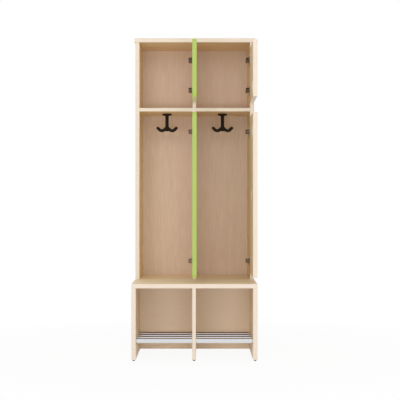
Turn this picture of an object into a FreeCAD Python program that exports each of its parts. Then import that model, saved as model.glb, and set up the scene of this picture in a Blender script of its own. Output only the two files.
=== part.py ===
# Two-place cloakroom locker: a bench with shoe bays and a shoe rack, and above it two lockers with
# four hinged doors, standing open, and two coat hooks.
# Frame: +X to the right, +Y to the back, +Z up, origin on the floor under the middle of the bench.
import FreeCAD, Part
import os
import re
import Sketcher

# Driving dimensions in millimetres
SIZES = {
    # The whole unit and its boards
    "unit_width": 510,
    "bench_depth": 500,
    "locker_depth": 250,
    "seat_height": 313,
    "hanging_height": 719,
    "cubby_height": 281,
    "top_overhang": 4,
    "outer_board": 18,
    "inner_board": 15,
    "back_board": 4,
    "back_rebate": 9,
    "back_play": 0.3,
    "shoe_bay_depth": 299,
    "edge_band": 2,
    "band_round": 1.5,
    "cut_overrun": 1,
    # Glides under the base
    "glide_height": 6.5,
    "glide_top_radius": 6.5,
    "glide_foot_radius": 4.5,
    "glide_inset": 15,
    "glide_pin_radius": 2,
    "glide_pin_length": 14,
    # Dowels
    "dowel_radius": 4,
    "dowel_in_face": 11,
    "dowel_in_edge": 19,
    "dowel_play": 0.05,
    "dowel_end_play": 0.5,
    # Shoe rack
    "rack_tube_radius": 10,
    "rack_tube_wall": 1.5,
    "rack_tube_height": 80.3,
    "rack_tube_setback": 31,
    "rack_tube_pitch": 64,
    "rack_seat": 10,
    "rack_play": 0.1,
    "rack_end_play": 0.5,
    # Doors
    "door_width": 239,
    "door_margin": 24.25,
    "door_gap": 4,
    "door_reveal": 1.5,
    "finger_hole_radius": 25,
    "finger_hole_inset": 50,
    "upper_finger_rise": 48.5,
    "lower_finger_drop": 70,
    "vent_hole_radius": 21.5,
    "hole_round": 1.5,
    # Hinges
    "upper_hinge_from_top": 51,
    "upper_hinge_from_foot": 53,
    "lower_hinge_from_top": 62,
    "lower_hinge_from_foot": 53.5,
    "cup_radius": 17.5,
    "cup_wall": 1,
    "cup_offset": 11.75,
    "cup_play": 0.1,
    "flange_thickness": 1,
    "flange_rim": 2,
    "flange_height": 49,
    "flange_width": 16,
    "flange_shift": 6,
    "flange_corner": 4,
    "cup_screw_pitch": 41,
    "pin_radius": 1.3,
    "pin_length": 20,
    "pin_play": 0.05,
    "lug_gap": 0.4,
    "lug_thickness": 2.2,
    "lug_front": 4.5,
    "lug_height": 7.5,
    "arm_width": 15,
    "arm_reach": 17.5,
    "arm_bar": 3.6,
    "arm_sheet": 1.5,
    "arm_knuckle": 2.5,
    "arm_corner": 4,
    "arm_end": 52,
    "arm_gap": 0.3,
    "plate_thickness": 3.2,
    "plate_front": 16,
    "plate_length": 42,
    "plate_wing_height": 44,
    "plate_wing_width": 16,
    "plate_corner": 3,
    "plate_screw_pitch": 32,
    "arm_screw_radius": 2,
    "arm_screw_head": 3.5,
    "arm_screw_head_height": 2,
    "arm_screw_play": 0.1,
    "arm_screw_setback": 26,
    # Countersunk screws
    "screw_radius": 1.75,
    "screw_head": 3.4,
    "screw_sink": 2.2,
    "screw_point": 2.5,
    "screw_slot": 0.9,
    "screw_slot_depth": 1.4,
    "screw_slot_share": 0.65,
    "screw_play": 0.1,
    "hinge_screw_length": 12,
    "board_screw_length": 16,
    # Coat hooks
    "hook_setback": 122,
    "hook_height": 81,
    "hook_plate_radius": 20,
    "hook_plate_thickness": 6,
    "hook_plate_round": 2.5,
    "hook_stem_radius": 7,
    "hook_stem_length": 40,
    "hook_boss_radius": 10.5,
    "hook_boss_rise": 3,
    "hook_arm_radius": 6,
    "hook_bend_radius": 16,
    "hook_bend_offset": 22.5,
    "hook_tip_offset": 40.5,
    "hook_screw_offset": 13,
}

# Places of dowels and screws along a length, as shares of it
BASE_SIDE_DOWEL_SHARES = (0.1, 0.42, 0.86)
BASE_DIVIDER_DOWEL_SHARES = (0.15, 0.85)
CLOSING_PANEL_DOWEL_SHARES = (0.2, 0.5, 0.8)
LOCKER_DOWEL_SHARES = (0.14, 0.86)
BACK_SCREW_SHARES = (0.05, 0.35, 0.65, 0.95)
RACK_TUBES = 4

# Main planes of the unit, with the divider flush on its left with the doors it carries open on the middle
SIDE = "(unit_width / 2)"
SIDE_FACE = "(unit_width / 2 - outer_board)"
SIDE_MIDDLE = "(unit_width / 2 - outer_board / 2)"
DIVIDER_LEFT = "(-outer_board / 2)"
DIVIDER_RIGHT = "(inner_board - outer_board / 2)"
DIVIDER_MIDDLE = "((inner_board - outer_board) / 2)"
BENCH_FRONT = "(-bench_depth / 2)"
REAR = "(bench_depth / 2)"
LOCKER_FRONT = "(bench_depth / 2 - locker_depth)"
BACK_FACE = "(bench_depth / 2 - back_board)"
CLOSING_FACE = "(shoe_bay_depth - bench_depth / 2)"
CLOSING_REAR = "(shoe_bay_depth - bench_depth / 2 + inner_board)"
FOOT = "glide_height"
BENCH_UNDER = "(seat_height - outer_board)"
SEAT = "seat_height"
SHELF_UNDER = "(seat_height + hanging_height)"
SHELF_TOP = "(seat_height + hanging_height + inner_board)"
TOP_UNDER = "(seat_height + hanging_height + inner_board + cubby_height)"
TOP = "(seat_height + hanging_height + inner_board + cubby_height + outer_board)"
LEFT_BAY_MIDDLE = f"(({DIVIDER_LEFT} - {SIDE_FACE}) / 2)"
RIGHT_BAY_MIDDLE = f"(({DIVIDER_RIGHT} + {SIDE_FACE}) / 2)"

# Hinge planes, measured from the inner face and the front of the board that carries the hinge
POLE = "((outer_board - door_reveal) / 2)"
POLE_Y = f"(-door_gap - {POLE})"
CUP_Y = f"(-door_gap - {POLE} - cup_offset)"
CUP_DEPTH = f"({POLE} + arm_knuckle + arm_gap)"
FLANGE_Y = f"({CUP_Y} - flange_shift)"
PLATE_Y = "(plate_front + plate_length / 2)"
ARM_SCREW_HOLE = "(arm_screw_radius + arm_screw_play)"

# Turns that lay an upright piece along an axis, and that point a downward screw another way
RIGHT_ANGLE = 90
X_AXIS = FreeCAD.Vector(1, 0, 0)
Y_AXIS = FreeCAD.Vector(0, 1, 0)
UPRIGHT = FreeCAD.Rotation()
ALONG_X = FreeCAD.Rotation(Y_AXIS, RIGHT_ANGLE)
ALONG_Y = FreeCAD.Rotation(X_AXIS, -RIGHT_ANGLE)
POINT_UP = FreeCAD.Rotation(X_AXIS, 2 * RIGHT_ANGLE)
POINT_RIGHT = FreeCAD.Rotation(Y_AXIS, -RIGHT_ANGLE)
POINT_FORWARD = FreeCAD.Rotation(X_AXIS, -RIGHT_ANGLE)

# How close two planes have to be to count as one
SAME_PLANE = 1e-6

doc = FreeCAD.newDocument("locker_unit")
sheet = doc.addObject("Spreadsheet::Sheet", "Sizes")
for row, (alias, value) in enumerate(SIZES.items(), start=1):
    sheet.set(f"A{row}", str(value))
    sheet.setAlias(f"A{row}", alias)
doc.recompute()

nodes = {}


def sized(text):
    """An expression with each size in it looked up in the sheet."""
    return re.sub(r"[a-z_]+", lambda word: f"Sizes.{word[0]}" if word[0] in SIZES else word[0], text)


def measure(text):
    """The present value of an expression."""
    return float(sheet.evalExpression(sized(text)))


def bind(piece, **sizes):
    """Tie properties of a piece to expressions in the sizes."""
    for name, text in sizes.items():
        piece.setExpression(name, sized(text))


def place(piece, at, turn=UPRIGHT):
    """Tie the place of a piece to three expressions, with a fixed turn."""
    piece.Placement = FreeCAD.Placement(FreeCAD.Vector(), turn)
    for axis, text in zip("xyz", at):
        piece.setExpression(f"Placement.Base.{axis}", sized(text))


def node(label, piece):
    """Name a finished sub-part."""
    piece.Label = label
    nodes[label] = piece
    return piece


def group(name, members):
    """Several pieces as one object."""
    compound = doc.addObject("Part::Compound", name)
    compound.Links = members
    return compound


def copies(name, master, places, turn=UPRIGHT):
    """Copies of a master piece at a list of places."""
    made = []
    for at in places:
        copy = doc.addObject("App::Link", name)
        copy.LinkedObject = master
        copy.LinkTransform = True
        place(copy, at, turn)
        made.append(copy)
    return made


def cut(name, base, tools):
    """A piece with several tools cut out of it."""
    piece = doc.addObject("Part::Cut", name)
    piece.Base = base
    piece.Tool = group(f"{name}_tools", tools)
    return piece


def fuse(name, members):
    """Several pieces joined into one solid."""
    piece = doc.addObject("Part::MultiFuse", name)
    piece.Shapes = members
    return piece


def rod(name, at, radius, length, turn=UPRIGHT):
    """A cylinder from a point."""
    cylinder = doc.addObject("Part::Cylinder", name)
    bind(cylinder, Radius=radius, Height=length)
    place(cylinder, at, turn)
    return cylinder


def cone(name, at, low_radius, high_radius, length, turn=UPRIGHT):
    """A cone from a point."""
    piece = doc.addObject("Part::Cone", name)
    bind(piece, Radius1=low_radius, Radius2=high_radius, Height=length)
    place(piece, at, turn)
    return piece


def box_between(piece, low, high):
    """Tie a box to its two corners."""
    for side, start, end in zip(("Length", "Width", "Height"), low, high):
        piece.setExpression(side, sized(f"({end}) - ({start})"))
    place(piece, low)
    return piece


def brick(name, low, high):
    """A plain box between two corners."""
    return box_between(doc.addObject("Part::Box", name), low, high)


def straight_edges(shape, along, face):
    """Names of the edges of a shape that run along an axis on one of its six outer sides."""
    level = getattr(shape.BoundBox, face)
    names = []
    for number, edge in enumerate(shape.Edges, start=1):
        span = edge.BoundBox
        lengths = {"X": span.XLength, "Y": span.YLength, "Z": span.ZLength}
        runs_along = abs(lengths[along] - edge.Length) < SAME_PLANE
        lies_low = abs(getattr(span, f"{face[0]}Min") - level) < SAME_PLANE
        lies_high = abs(getattr(span, f"{face[0]}Max") - level) < SAME_PLANE
        if runs_along and lies_low and lies_high:
            names.append(f"Edge{number}")
    return names


def round_edges(body, feature, names, radius):
    """Round edges of the last feature of a body."""
    fillet = body.newObject("PartDesign::Fillet", "Rounding")
    fillet.Base = (feature, sorted(set(names)))
    bind(fillet, Radius=radius)
    return fillet


def block(name, low, high, rounded=()):
    """A body of one box between two corners, with edges rounded along an axis on an outer side."""
    body = doc.addObject("PartDesign::Body", name)
    box = box_between(body.newObject("PartDesign::AdditiveBox", "Board"), low, high)
    if rounded:
        doc.recompute()
        names = []
        for along, face in rounded:
            names += straight_edges(box.Shape, along, face)
        round_edges(body, box, names, "band_round")
    return body


def sketch_on(body, role, at):
    """A sketch on one of a body's own planes, moved along the plane's axes."""
    plane = next(feature for feature in body.Origin.OriginFeatures if feature.Role == role)
    sketch = body.newObject("Sketcher::SketchObject", "Outline")
    sketch.AttachmentSupport = (plane, [""])
    sketch.MapMode = "FlatFace"
    for axis, text in zip("xyz", at):
        sketch.setExpression(f"AttachmentOffset.Base.{axis}", sized(text))
    return sketch


def dimension(sketch, name, constraint, text):
    """A named dimension of a sketch, tied to an expression."""
    number = sketch.addConstraint(Sketcher.Constraint(*constraint, measure(text)))
    sketch.renameConstraint(number, name)
    sketch.setExpression(f"Constraints.{name}", sized(text))


def rectangle(sketch, name, low, high):
    """A rectangle between two corners of a sketch, each given as a pair of expressions."""
    left, bottom = low
    right, top = high
    corners = [
        FreeCAD.Vector(measure(x), measure(y), 0)
        for x, y in ((left, bottom), (right, bottom), (right, top), (left, top))
    ]
    lines = [
        sketch.addGeometry(Part.LineSegment(start, end))
        for start, end in zip(corners, corners[1:] + corners[:1])
    ]
    for number, (line, following) in enumerate(zip(lines, lines[1:] + lines[:1])):
        sketch.addConstraint(Sketcher.Constraint("Coincident", line, 2, following, 1))
        level = "Horizontal" if number % 2 == 0 else "Vertical"
        sketch.addConstraint(Sketcher.Constraint(level, line))
    dimension(sketch, f"{name}_left", ("DistanceX", -1, 1, lines[0], 1), left)
    dimension(sketch, f"{name}_bottom", ("DistanceY", -1, 1, lines[0], 1), bottom)
    dimension(sketch, f"{name}_right", ("DistanceX", -1, 1, lines[1], 2), right)
    dimension(sketch, f"{name}_top", ("DistanceY", -1, 1, lines[1], 2), top)


def circle(sketch, name, centre, radius):
    """A circle of a sketch at a pair of expressions."""
    x, y = centre
    middle = FreeCAD.Vector(measure(x), measure(y), 0)
    curve = sketch.addGeometry(Part.Circle(middle, FreeCAD.Vector(0, 0, 1), measure(radius)))
    dimension(sketch, f"{name}_x", ("DistanceX", -1, 1, curve, 3), x)
    dimension(sketch, f"{name}_y", ("DistanceY", -1, 1, curve, 3), y)
    dimension(sketch, f"{name}_radius", ("Radius", curve), radius)


def pad(body, sketch, length):
    """A pad of a sketch."""
    feature = body.newObject("PartDesign::Pad", "Pad")
    feature.Profile = sketch
    bind(feature, Length=length)
    return feature


def along(start, length, shares):
    """Places along a length, at shares of it."""
    return [f"({start}) + ({length}) * {share}" for share in shares]


# Screws: the head is flush with the origin and the screw points down
def screw(name, length):
    """A countersunk screw with a cross recess, and the bore that it needs."""
    head = cone(f"{name}_head", ("0", "0", "-screw_sink"), "screw_radius", "screw_head", "screw_sink")
    shank_length = f"({length}) - screw_sink - screw_point"
    shank = rod(f"{name}_shank", ("0", "0", f"screw_point - ({length})"), "screw_radius", shank_length)
    tip_radius = "screw_slot / 2"
    point = cone(f"{name}_point", ("0", "0", f"-({length})"), tip_radius, "screw_radius", "screw_point")
    reach = "(screw_head * screw_slot_share)"
    slots = []
    for across, along_slot in ((reach, "screw_slot / 2"), ("screw_slot / 2", reach)):
        low = (f"-{across}", f"-{along_slot}", "-screw_slot_depth")
        slots.append(brick(f"{name}_slot", low, (across, along_slot, "cut_overrun")))
    recess = fuse(f"{name}_recess", slots)
    master = cut(name, fuse(f"{name}_blank", [head, shank, point]), [recess])
    wide_shank = "screw_radius + screw_play"
    wide_head = "screw_head + screw_play"
    deep = f"(({length}) + screw_play)"
    bore = fuse(f"{name}_bore", [
        rod(f"{name}_mouth", ("0", "0", "0"), wide_head, "cut_overrun"),
        cone(f"{name}_seat", ("0", "0", "-screw_sink"), wide_shank, wide_head, "screw_sink"),
        rod(f"{name}_hole", ("0", "0", f"-{deep}"), wide_shank, deep),
    ])
    return master, bore


hinge_screw, hinge_screw_bore = screw("hinge_screw", "hinge_screw_length")
board_screw, board_screw_bore = screw("board_screw", "board_screw_length")


# Dowels: upright, with the middle of the length at the origin
def dowel(name, length):
    """A dowel and the bore that it needs."""
    half = f"(({length}) / 2)"
    pin = rod(name, ("0", "0", f"-{half}"), "dowel_radius", length)
    bore_half = f"({half} + dowel_end_play)"
    bore_start = ("0", "0", f"-{bore_half}")
    bore = rod(f"{name}_bore", bore_start, "dowel_radius + dowel_play", f"{bore_half} * 2")
    return pin, bore


board_dowel, board_dowel_bore = dowel("board_dowel", "dowel_in_face + dowel_in_edge")
through_dowel, through_dowel_bore = dowel("through_dowel", "inner_board + 2 * dowel_in_edge")
DOWEL_SHIFT = "((dowel_in_face - dowel_in_edge) / 2)"


def joint_dowels(name, places, turn=UPRIGHT):
    """Dowels across a joint between two boards, and their bores."""
    pins = copies(name, board_dowel, places, turn)
    return pins, copies(f"{name}_bore", board_dowel_bore, places, turn)


# Dowels of the base
bench_ys = along(BENCH_FRONT, "bench_depth", BASE_SIDE_DOWEL_SHARES)
divider_ys = along(BENCH_FRONT, "shoe_bay_depth", BASE_DIVIDER_DOWEL_SHARES)
closing_zs = along(FOOT, f"{BENCH_UNDER} - {FOOT}", CLOSING_PANEL_DOWEL_SHARES)
bench_joint_z = f"{BENCH_UNDER} + {DOWEL_SHIFT}"
closing_y = f"({CLOSING_FACE} + inner_board / 2)"
base_pins = {}
base_bores = {}
for hand, sign in (("left", "-"), ("right", "")):
    bench_places = [(f"{sign}{SIDE_MIDDLE}", y, bench_joint_z) for y in bench_ys]
    base_pins[hand], base_bores[hand] = joint_dowels("bench_side_dowel", bench_places)
    closing_x = f"{sign}({SIDE_FACE} + {DOWEL_SHIFT})"
    closing_places = [(closing_x, closing_y, z) for z in closing_zs]
    closing_set = joint_dowels("closing_dowel", closing_places, ALONG_X)
    base_pins[f"closing_{hand}"], base_bores[f"closing_{hand}"] = closing_set
divider_places = [(DIVIDER_MIDDLE, y, bench_joint_z) for y in divider_ys]
base_pins["divider"], base_bores["divider"] = joint_dowels("bench_divider_dowel", divider_places)
rear_places = [(DIVIDER_MIDDLE, f"{CLOSING_FACE} + {DOWEL_SHIFT}", z) for z in closing_zs]
base_pins["rear"], base_bores["rear"] = joint_dowels("divider_rear_dowel", rear_places, ALONG_Y)
node("base_dowels", group("base_dowel_set", sum(base_pins.values(), [])))

# Dowels of the lockers
locker_ys = along(LOCKER_FRONT, "locker_depth", LOCKER_DOWEL_SHARES)
seat_joint_z = f"{SEAT} - {DOWEL_SHIFT}"
top_joint_z = f"{TOP_UNDER} + {DOWEL_SHIFT}"
shelf_middle = f"({SHELF_UNDER} + inner_board / 2)"
locker_xs = {"left": f"-{SIDE_MIDDLE}", "divider": DIVIDER_MIDDLE, "right": SIDE_MIDDLE}
seat_pins = {}
seat_bores = {}
top_pins = {}
top_bores = {}
for hand, x in locker_xs.items():
    seat_places = [(x, y, seat_joint_z) for y in locker_ys]
    seat_pins[hand], seat_bores[hand] = joint_dowels("seat_dowel", seat_places)
    top_places = [(x, y, top_joint_z) for y in locker_ys]
    top_pins[hand], top_bores[hand] = joint_dowels("top_dowel", top_places)
shelf_pins = {}
shelf_bores = {}
for hand, sign in (("left", "-"), ("right", "")):
    shelf_x = f"{sign}({SIDE_FACE} + {DOWEL_SHIFT})"
    shelf_places = [(shelf_x, y, shelf_middle) for y in locker_ys]
    shelf_pins[hand], shelf_bores[hand] = joint_dowels("shelf_dowel", shelf_places, ALONG_X)
middle_places = [(DIVIDER_MIDDLE, y, shelf_middle) for y in locker_ys]
middle_bores = copies("divider_dowel_bore", through_dowel_bore, middle_places)
node("seat_dowels", group("seat_dowel_set", sum(seat_pins.values(), [])))
node("top_dowels", group("top_dowel_set", sum(top_pins.values(), [])))
node("shelf_dowels", group("shelf_dowel_set", sum(shelf_pins.values(), [])))
node("divider_dowels", group("divider_dowel_set", copies("divider_dowel", through_dowel, middle_places)))


# Shoe rack: equal tubes from side to side, through the base divider
rack_half = f"({SIDE_FACE} + rack_seat - rack_end_play)"
rack_hollow_half = f"({rack_half} + cut_overrun)"
rack_bore_half = f"({SIDE_FACE} + rack_seat)"


def rack_bar(name, half, radius):
    """An upright round bar with its middle at the origin."""
    return rod(name, ("0", "0", f"-{half}"), radius, f"2 * {half}")


rack_blank = rack_bar("rack_tube_blank", rack_half, "rack_tube_radius")
rack_hollow = rack_bar("rack_tube_hollow", rack_hollow_half, "rack_tube_radius - rack_tube_wall")
rack_tube = cut("rack_tube", rack_blank, [rack_hollow])
rack_bore = rack_bar("rack_tube_bore", rack_bore_half, "rack_tube_radius + rack_play")
rack_places = [
    ("0", f"{BENCH_FRONT} + rack_tube_setback + rack_tube_pitch * {number}", "rack_tube_height")
    for number in range(RACK_TUBES)
]
for number, tube in enumerate(copies("rack_tube_copy", rack_tube, rack_places, ALONG_X), start=1):
    node(f"shoe_rack_tube_{number}", group(f"shoe_rack_tube_{number}_piece", [tube]))
rack_bores = copies("rack_bore", rack_bore, rack_places, ALONG_X)

# Glides: a tapered foot with a pin that is knocked into the panel
glide_foot = cone("glide_foot", ("0", "0", "0"), "glide_foot_radius", "glide_top_radius", FOOT)
glide_pin = rod("glide_pin", ("0", "0", FOOT), "glide_pin_radius", "glide_pin_length")
glide = fuse("glide", [glide_foot, glide_pin])
glide_bore_length = "glide_pin_length + dowel_end_play"
glide_bore = rod("glide_bore", ("0", "0", FOOT), "glide_pin_radius + dowel_play", glide_bore_length)
glide_front = f"{BENCH_FRONT} + glide_inset"
glide_rows = {
    "left": [(f"-{SIDE_MIDDLE}", glide_front, "0"), (f"-{SIDE_MIDDLE}", f"{REAR} - glide_inset", "0")],
    "divider": [
        (DIVIDER_MIDDLE, glide_front, "0"),
        (DIVIDER_MIDDLE, f"{CLOSING_FACE} - glide_inset", "0"),
    ],
    "right": [(SIDE_MIDDLE, glide_front, "0"), (SIDE_MIDDLE, f"{REAR} - glide_inset", "0")],
}
node("floor_glides", group("glide_set", copies("floor_glide", glide, sum(glide_rows.values(), []))))
glide_bores = {hand: copies("floor_glide_bore", glide_bore, row) for hand, row in glide_rows.items()}

# Base panels
for hand, low_x, high_x in (("left", f"-{SIDE}", f"-{SIDE_FACE}"), ("right", SIDE_FACE, SIDE)):
    low = (low_x, f"{BENCH_FRONT} + edge_band", FOOT)
    panel = block(f"base_side_{hand}_board", low, (high_x, REAR, BENCH_UNDER))
    side_tools = base_bores[hand] + base_bores[f"closing_{hand}"] + glide_bores[hand] + rack_bores
    node(f"base_side_{hand}", cut(f"base_side_{hand}_drilled", panel, side_tools))
divider_low = (DIVIDER_LEFT, f"{BENCH_FRONT} + edge_band", FOOT)
divider_board = block("base_divider_board", divider_low, (DIVIDER_RIGHT, CLOSING_FACE, BENCH_UNDER))
divider_tools = base_bores["divider"] + base_bores["rear"] + glide_bores["divider"] + rack_bores
node("base_divider", cut("base_divider_drilled", divider_board, divider_tools))
closing_low = (f"-{SIDE_FACE}", CLOSING_FACE, FOOT)
closing_board = block("closing_board", closing_low, (SIDE_FACE, CLOSING_REAR, BENCH_UNDER))
closing_tools = base_bores["closing_left"] + base_bores["closing_right"] + base_bores["rear"]
node("base_closing_panel", cut("closing_drilled", closing_board, closing_tools))
bench_low = (f"edge_band - {SIDE}", f"{BENCH_FRONT} + edge_band", BENCH_UNDER)
bench_board = block("bench_board", bench_low, (f"{SIDE} - edge_band", REAR, SEAT))
bench_tools = base_bores["left"] + base_bores["right"] + base_bores["divider"]
bench_tools += sum(seat_bores.values(), [])
node("bench_top", cut("bench_drilled", bench_board, bench_tools))

# Back panel and its screws, which go into the rear edges of the sides and dividers
back_half = f"({SIDE_FACE} + back_rebate - back_play)"
back_board = block("back_board_blank", (f"-{back_half}", BACK_FACE, SEAT), (back_half, REAR, TOP_UNDER))
back_zs = along(SEAT, f"{TOP_UNDER} - {SEAT}", BACK_SCREW_SHARES)
back_screw_x = f"({SIDE_FACE} + back_rebate / 2)"
back_rows = {
    "left": [(f"-{back_screw_x}", REAR, z) for z in back_zs],
    "lower": [(DIVIDER_MIDDLE, REAR, z) for z in back_zs[:-1]],
    "upper": [(DIVIDER_MIDDLE, REAR, back_zs[-1])],
    "right": [(back_screw_x, REAR, z) for z in back_zs],
}
back_screws = copies("back_screw", board_screw, sum(back_rows.values(), []), POINT_FORWARD)
node("back_panel_screws", group("back_screw_set", back_screws))
back_bores = {
    hand: copies("back_screw_bore", board_screw_bore, row, POINT_FORWARD)
    for hand, row in back_rows.items()
}
node("back_panel", cut("back_panel_drilled", back_board, sum(back_bores.values(), [])))

# Doors and hinge places: the face that carries the hinges, the foot and the head of each door
UPPER = {"foot": f"({SHELF_TOP} + door_margin)", "head": f"({TOP_UNDER} - door_margin)"}
LOWER = {"foot": f"({SEAT} + door_margin)", "head": f"({SHELF_UNDER} - door_margin)"}
for row in (UPPER, LOWER):
    row["height"] = f"({row['head']} - {row['foot']})"
UPPER["hinges"] = [f"{UPPER['foot']} + upper_hinge_from_foot", f"{UPPER['head']} - upper_hinge_from_top"]
LOWER["hinges"] = [f"{LOWER['foot']} + lower_hinge_from_foot", f"{LOWER['head']} - lower_hinge_from_top"]
UPPER["finger"] = "upper_finger_rise"
LOWER["finger"] = f"({LOWER['height']} - lower_finger_drop)"
DOOR_EDGE = f"({LOCKER_FRONT} - door_gap - door_width)"
DOORS = {
    "upper_left": (DIVIDER_LEFT, UPPER),
    "upper_right": (SIDE_FACE, UPPER),
    "lower_left": (DIVIDER_LEFT, LOWER),
    "lower_right": (SIDE_FACE, LOWER),
}
hinge_places = {
    door: [(face, LOCKER_FRONT, z) for z in row["hinges"]] for door, (face, row) in DOORS.items()
}


def offset_places(places, offsets):
    """Places moved by each of several offsets."""
    return [
        tuple(f"({start}) + ({step})" for start, step in zip(at, offset))
        for at in places
        for offset in offsets
    ]


cup_screw_offsets = [
    ("-flange_thickness", FLANGE_Y, f"{sign}cup_screw_pitch / 2") for sign in ("-", "")
]
plate_screw_offsets = [
    ("-plate_thickness", PLATE_Y, f"{sign}plate_screw_pitch / 2") for sign in ("-", "")
]
cup_screw_places = {}
plate_screw_places = {}
for door, places in hinge_places.items():
    cup_screw_places[door] = offset_places(places, cup_screw_offsets)
    plate_screw_places[door] = offset_places(places, plate_screw_offsets)


# Hinge pieces: the origin is on the carrying board's inner face, at its front, at the hinge's height
def hinge_cup():
    """The cup that is let into the door, with its flange and the two lugs that hold the pin."""
    shell = rod("cup_shell", ("0", CUP_Y, "0"), "cup_radius", f"{CUP_DEPTH} + cup_wall", ALONG_X)
    rim_start = ("-flange_thickness", CUP_Y, "0")
    rim = rod("cup_rim", rim_start, "cup_radius + flange_rim", "flange_thickness", ALONG_X)
    wings = doc.addObject("PartDesign::Body", "cup_wings")
    wing_low = ("-flange_thickness", f"{FLANGE_Y} - flange_width / 2", "-flange_height / 2")
    wing_high = ("0", f"{FLANGE_Y} + flange_width / 2", "flange_height / 2")
    plate = box_between(wings.newObject("PartDesign::AdditiveBox", "Plate"), wing_low, wing_high)
    doc.recompute()
    corners = straight_edges(plate.Shape, "X", "ZMin") + straight_edges(plate.Shape, "X", "ZMax")
    round_edges(wings, plate, corners, "flange_corner")
    hollow_start = ("-flange_thickness - cut_overrun", CUP_Y, "0")
    hollow_length = f"{CUP_DEPTH} + flange_thickness + cut_overrun"
    hollow = rod("cup_hollow", hollow_start, "cup_radius - cup_wall", hollow_length, ALONG_X)
    bowl = cut("cup_bowl", fuse("cup_blank", [shell, rim, wings]), [hollow])
    inner = "(arm_width / 2 + lug_gap)"
    outer = f"({inner} + lug_thickness)"
    lugs = []
    for low_z, high_z in ((f"-{outer}", f"-{inner}"), (inner, outer)):
        low = (f"{CUP_DEPTH} + cup_wall / 2 - lug_height", f"{POLE_Y} - lug_front", low_z)
        ear = brick("cup_ear", low, (f"{CUP_DEPTH} + cup_wall / 2", f"{CUP_Y} + cup_radius", high_z))
        lug = doc.addObject("Part::Common", "cup_lug")
        lug.Base = ear
        lug.Tool = rod("cup_limit", ("0", CUP_Y, "0"), "cup_radius", f"{CUP_DEPTH} + cup_wall", ALONG_X)
        lugs.append(lug)
    pin_hole_half = f"({outer} + cut_overrun)"
    pin_hole_start = (POLE, POLE_Y, f"-{pin_hole_half}")
    pin_hole = rod("cup_pin_hole", pin_hole_start, "pin_radius + pin_play", f"2 * {pin_hole_half}")
    screw_holes = copies("cup_screw_hole", hinge_screw_bore, cup_screw_offsets, POINT_RIGHT)
    return cut("hinge_cup", fuse("cup_with_lugs", [bowl] + lugs), [pin_hole] + screw_holes)


def hinge_arm():
    """The arm: a channel of bent sheet that reaches from the mounting plate into the cup."""
    body = doc.addObject("PartDesign::Body", "hinge_arm_channel")
    front = f"({POLE_Y} - arm_bar / 2)"
    leg_low = ("-arm_reach", front, "-arm_width / 2")
    leg_high = ("-plate_thickness", "arm_end", "arm_width / 2")
    box_between(body.newObject("PartDesign::AdditiveBox", "Leg"), leg_low, leg_high)
    bar_low = ("-arm_reach", front, "-arm_width / 2")
    bar_high = (POLE, f"{POLE_Y} + arm_bar / 2", "arm_width / 2")
    bar = box_between(body.newObject("PartDesign::AdditiveBox", "Bar"), bar_low, bar_high)
    doc.recompute()
    bend_edges = [
        name for name in straight_edges(bar.Shape, "Z", "YMin")
        if name in straight_edges(bar.Shape, "Z", "XMin")
    ]
    round_edges(body, bar, bend_edges, "arm_corner")
    knuckle = body.newObject("PartDesign::AdditiveCylinder", "Knuckle")
    bind(knuckle, Radius="arm_knuckle", Height="arm_width")
    place(knuckle, (POLE, POLE_Y, "-arm_width / 2"))
    channel_depth = f"{POLE} + arm_knuckle + cut_overrun"
    channel_low = ("arm_sheet - arm_reach", f"{front} - cut_overrun", "arm_sheet - arm_width / 2")
    channel_high = (channel_depth, "arm_end + cut_overrun", "arm_width / 2 - arm_sheet")
    box_between(body.newObject("PartDesign::SubtractiveBox", "Channel"), channel_low, channel_high)
    pin_hole = body.newObject("PartDesign::SubtractiveCylinder", "PinHole")
    bind(pin_hole, Radius="pin_radius + pin_play", Height="arm_width + 2 * cut_overrun")
    place(pin_hole, (POLE, POLE_Y, "-arm_width / 2 - cut_overrun"))
    hole_start = ("-arm_reach - cut_overrun", "arm_screw_setback", "0")
    hole_length = "arm_sheet + 2 * cut_overrun"
    screw_hole = rod("arm_screw_hole", hole_start, ARM_SCREW_HOLE, hole_length, ALONG_X)
    return cut("hinge_arm", body, [screw_hole])


def hinge_plate():
    """The mounting plate that is screwed to the carrying board."""
    body = doc.addObject("PartDesign::Body", "hinge_plate_blank")
    foot_low = ("-plate_thickness", "plate_front", "-arm_width / 2")
    foot_high = ("0", "plate_front + plate_length", "arm_width / 2")
    box_between(body.newObject("PartDesign::AdditiveBox", "Foot"), foot_low, foot_high)
    wing_low = ("-plate_thickness", f"{PLATE_Y} - plate_wing_width / 2", "-plate_wing_height / 2")
    wing_high = ("0", f"{PLATE_Y} + plate_wing_width / 2", "plate_wing_height / 2")
    wings = box_between(body.newObject("PartDesign::AdditiveBox", "Wings"), wing_low, wing_high)
    doc.recompute()
    corners = []
    for face in ("YMin", "YMax", "ZMin", "ZMax"):
        corners += straight_edges(wings.Shape, "X", face)
    round_edges(body, wings, corners, "plate_corner")
    hole_start = ("-plate_thickness - cut_overrun", "arm_screw_setback", "0")
    hole_length = "plate_thickness + 2 * cut_overrun"
    arm_screw_hole = rod("plate_arm_screw_hole", hole_start, ARM_SCREW_HOLE, hole_length, ALONG_X)
    screw_holes = copies("plate_screw_hole", hinge_screw_bore, plate_screw_offsets, POINT_RIGHT)
    return cut("hinge_plate", body, [arm_screw_hole] + screw_holes)


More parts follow.
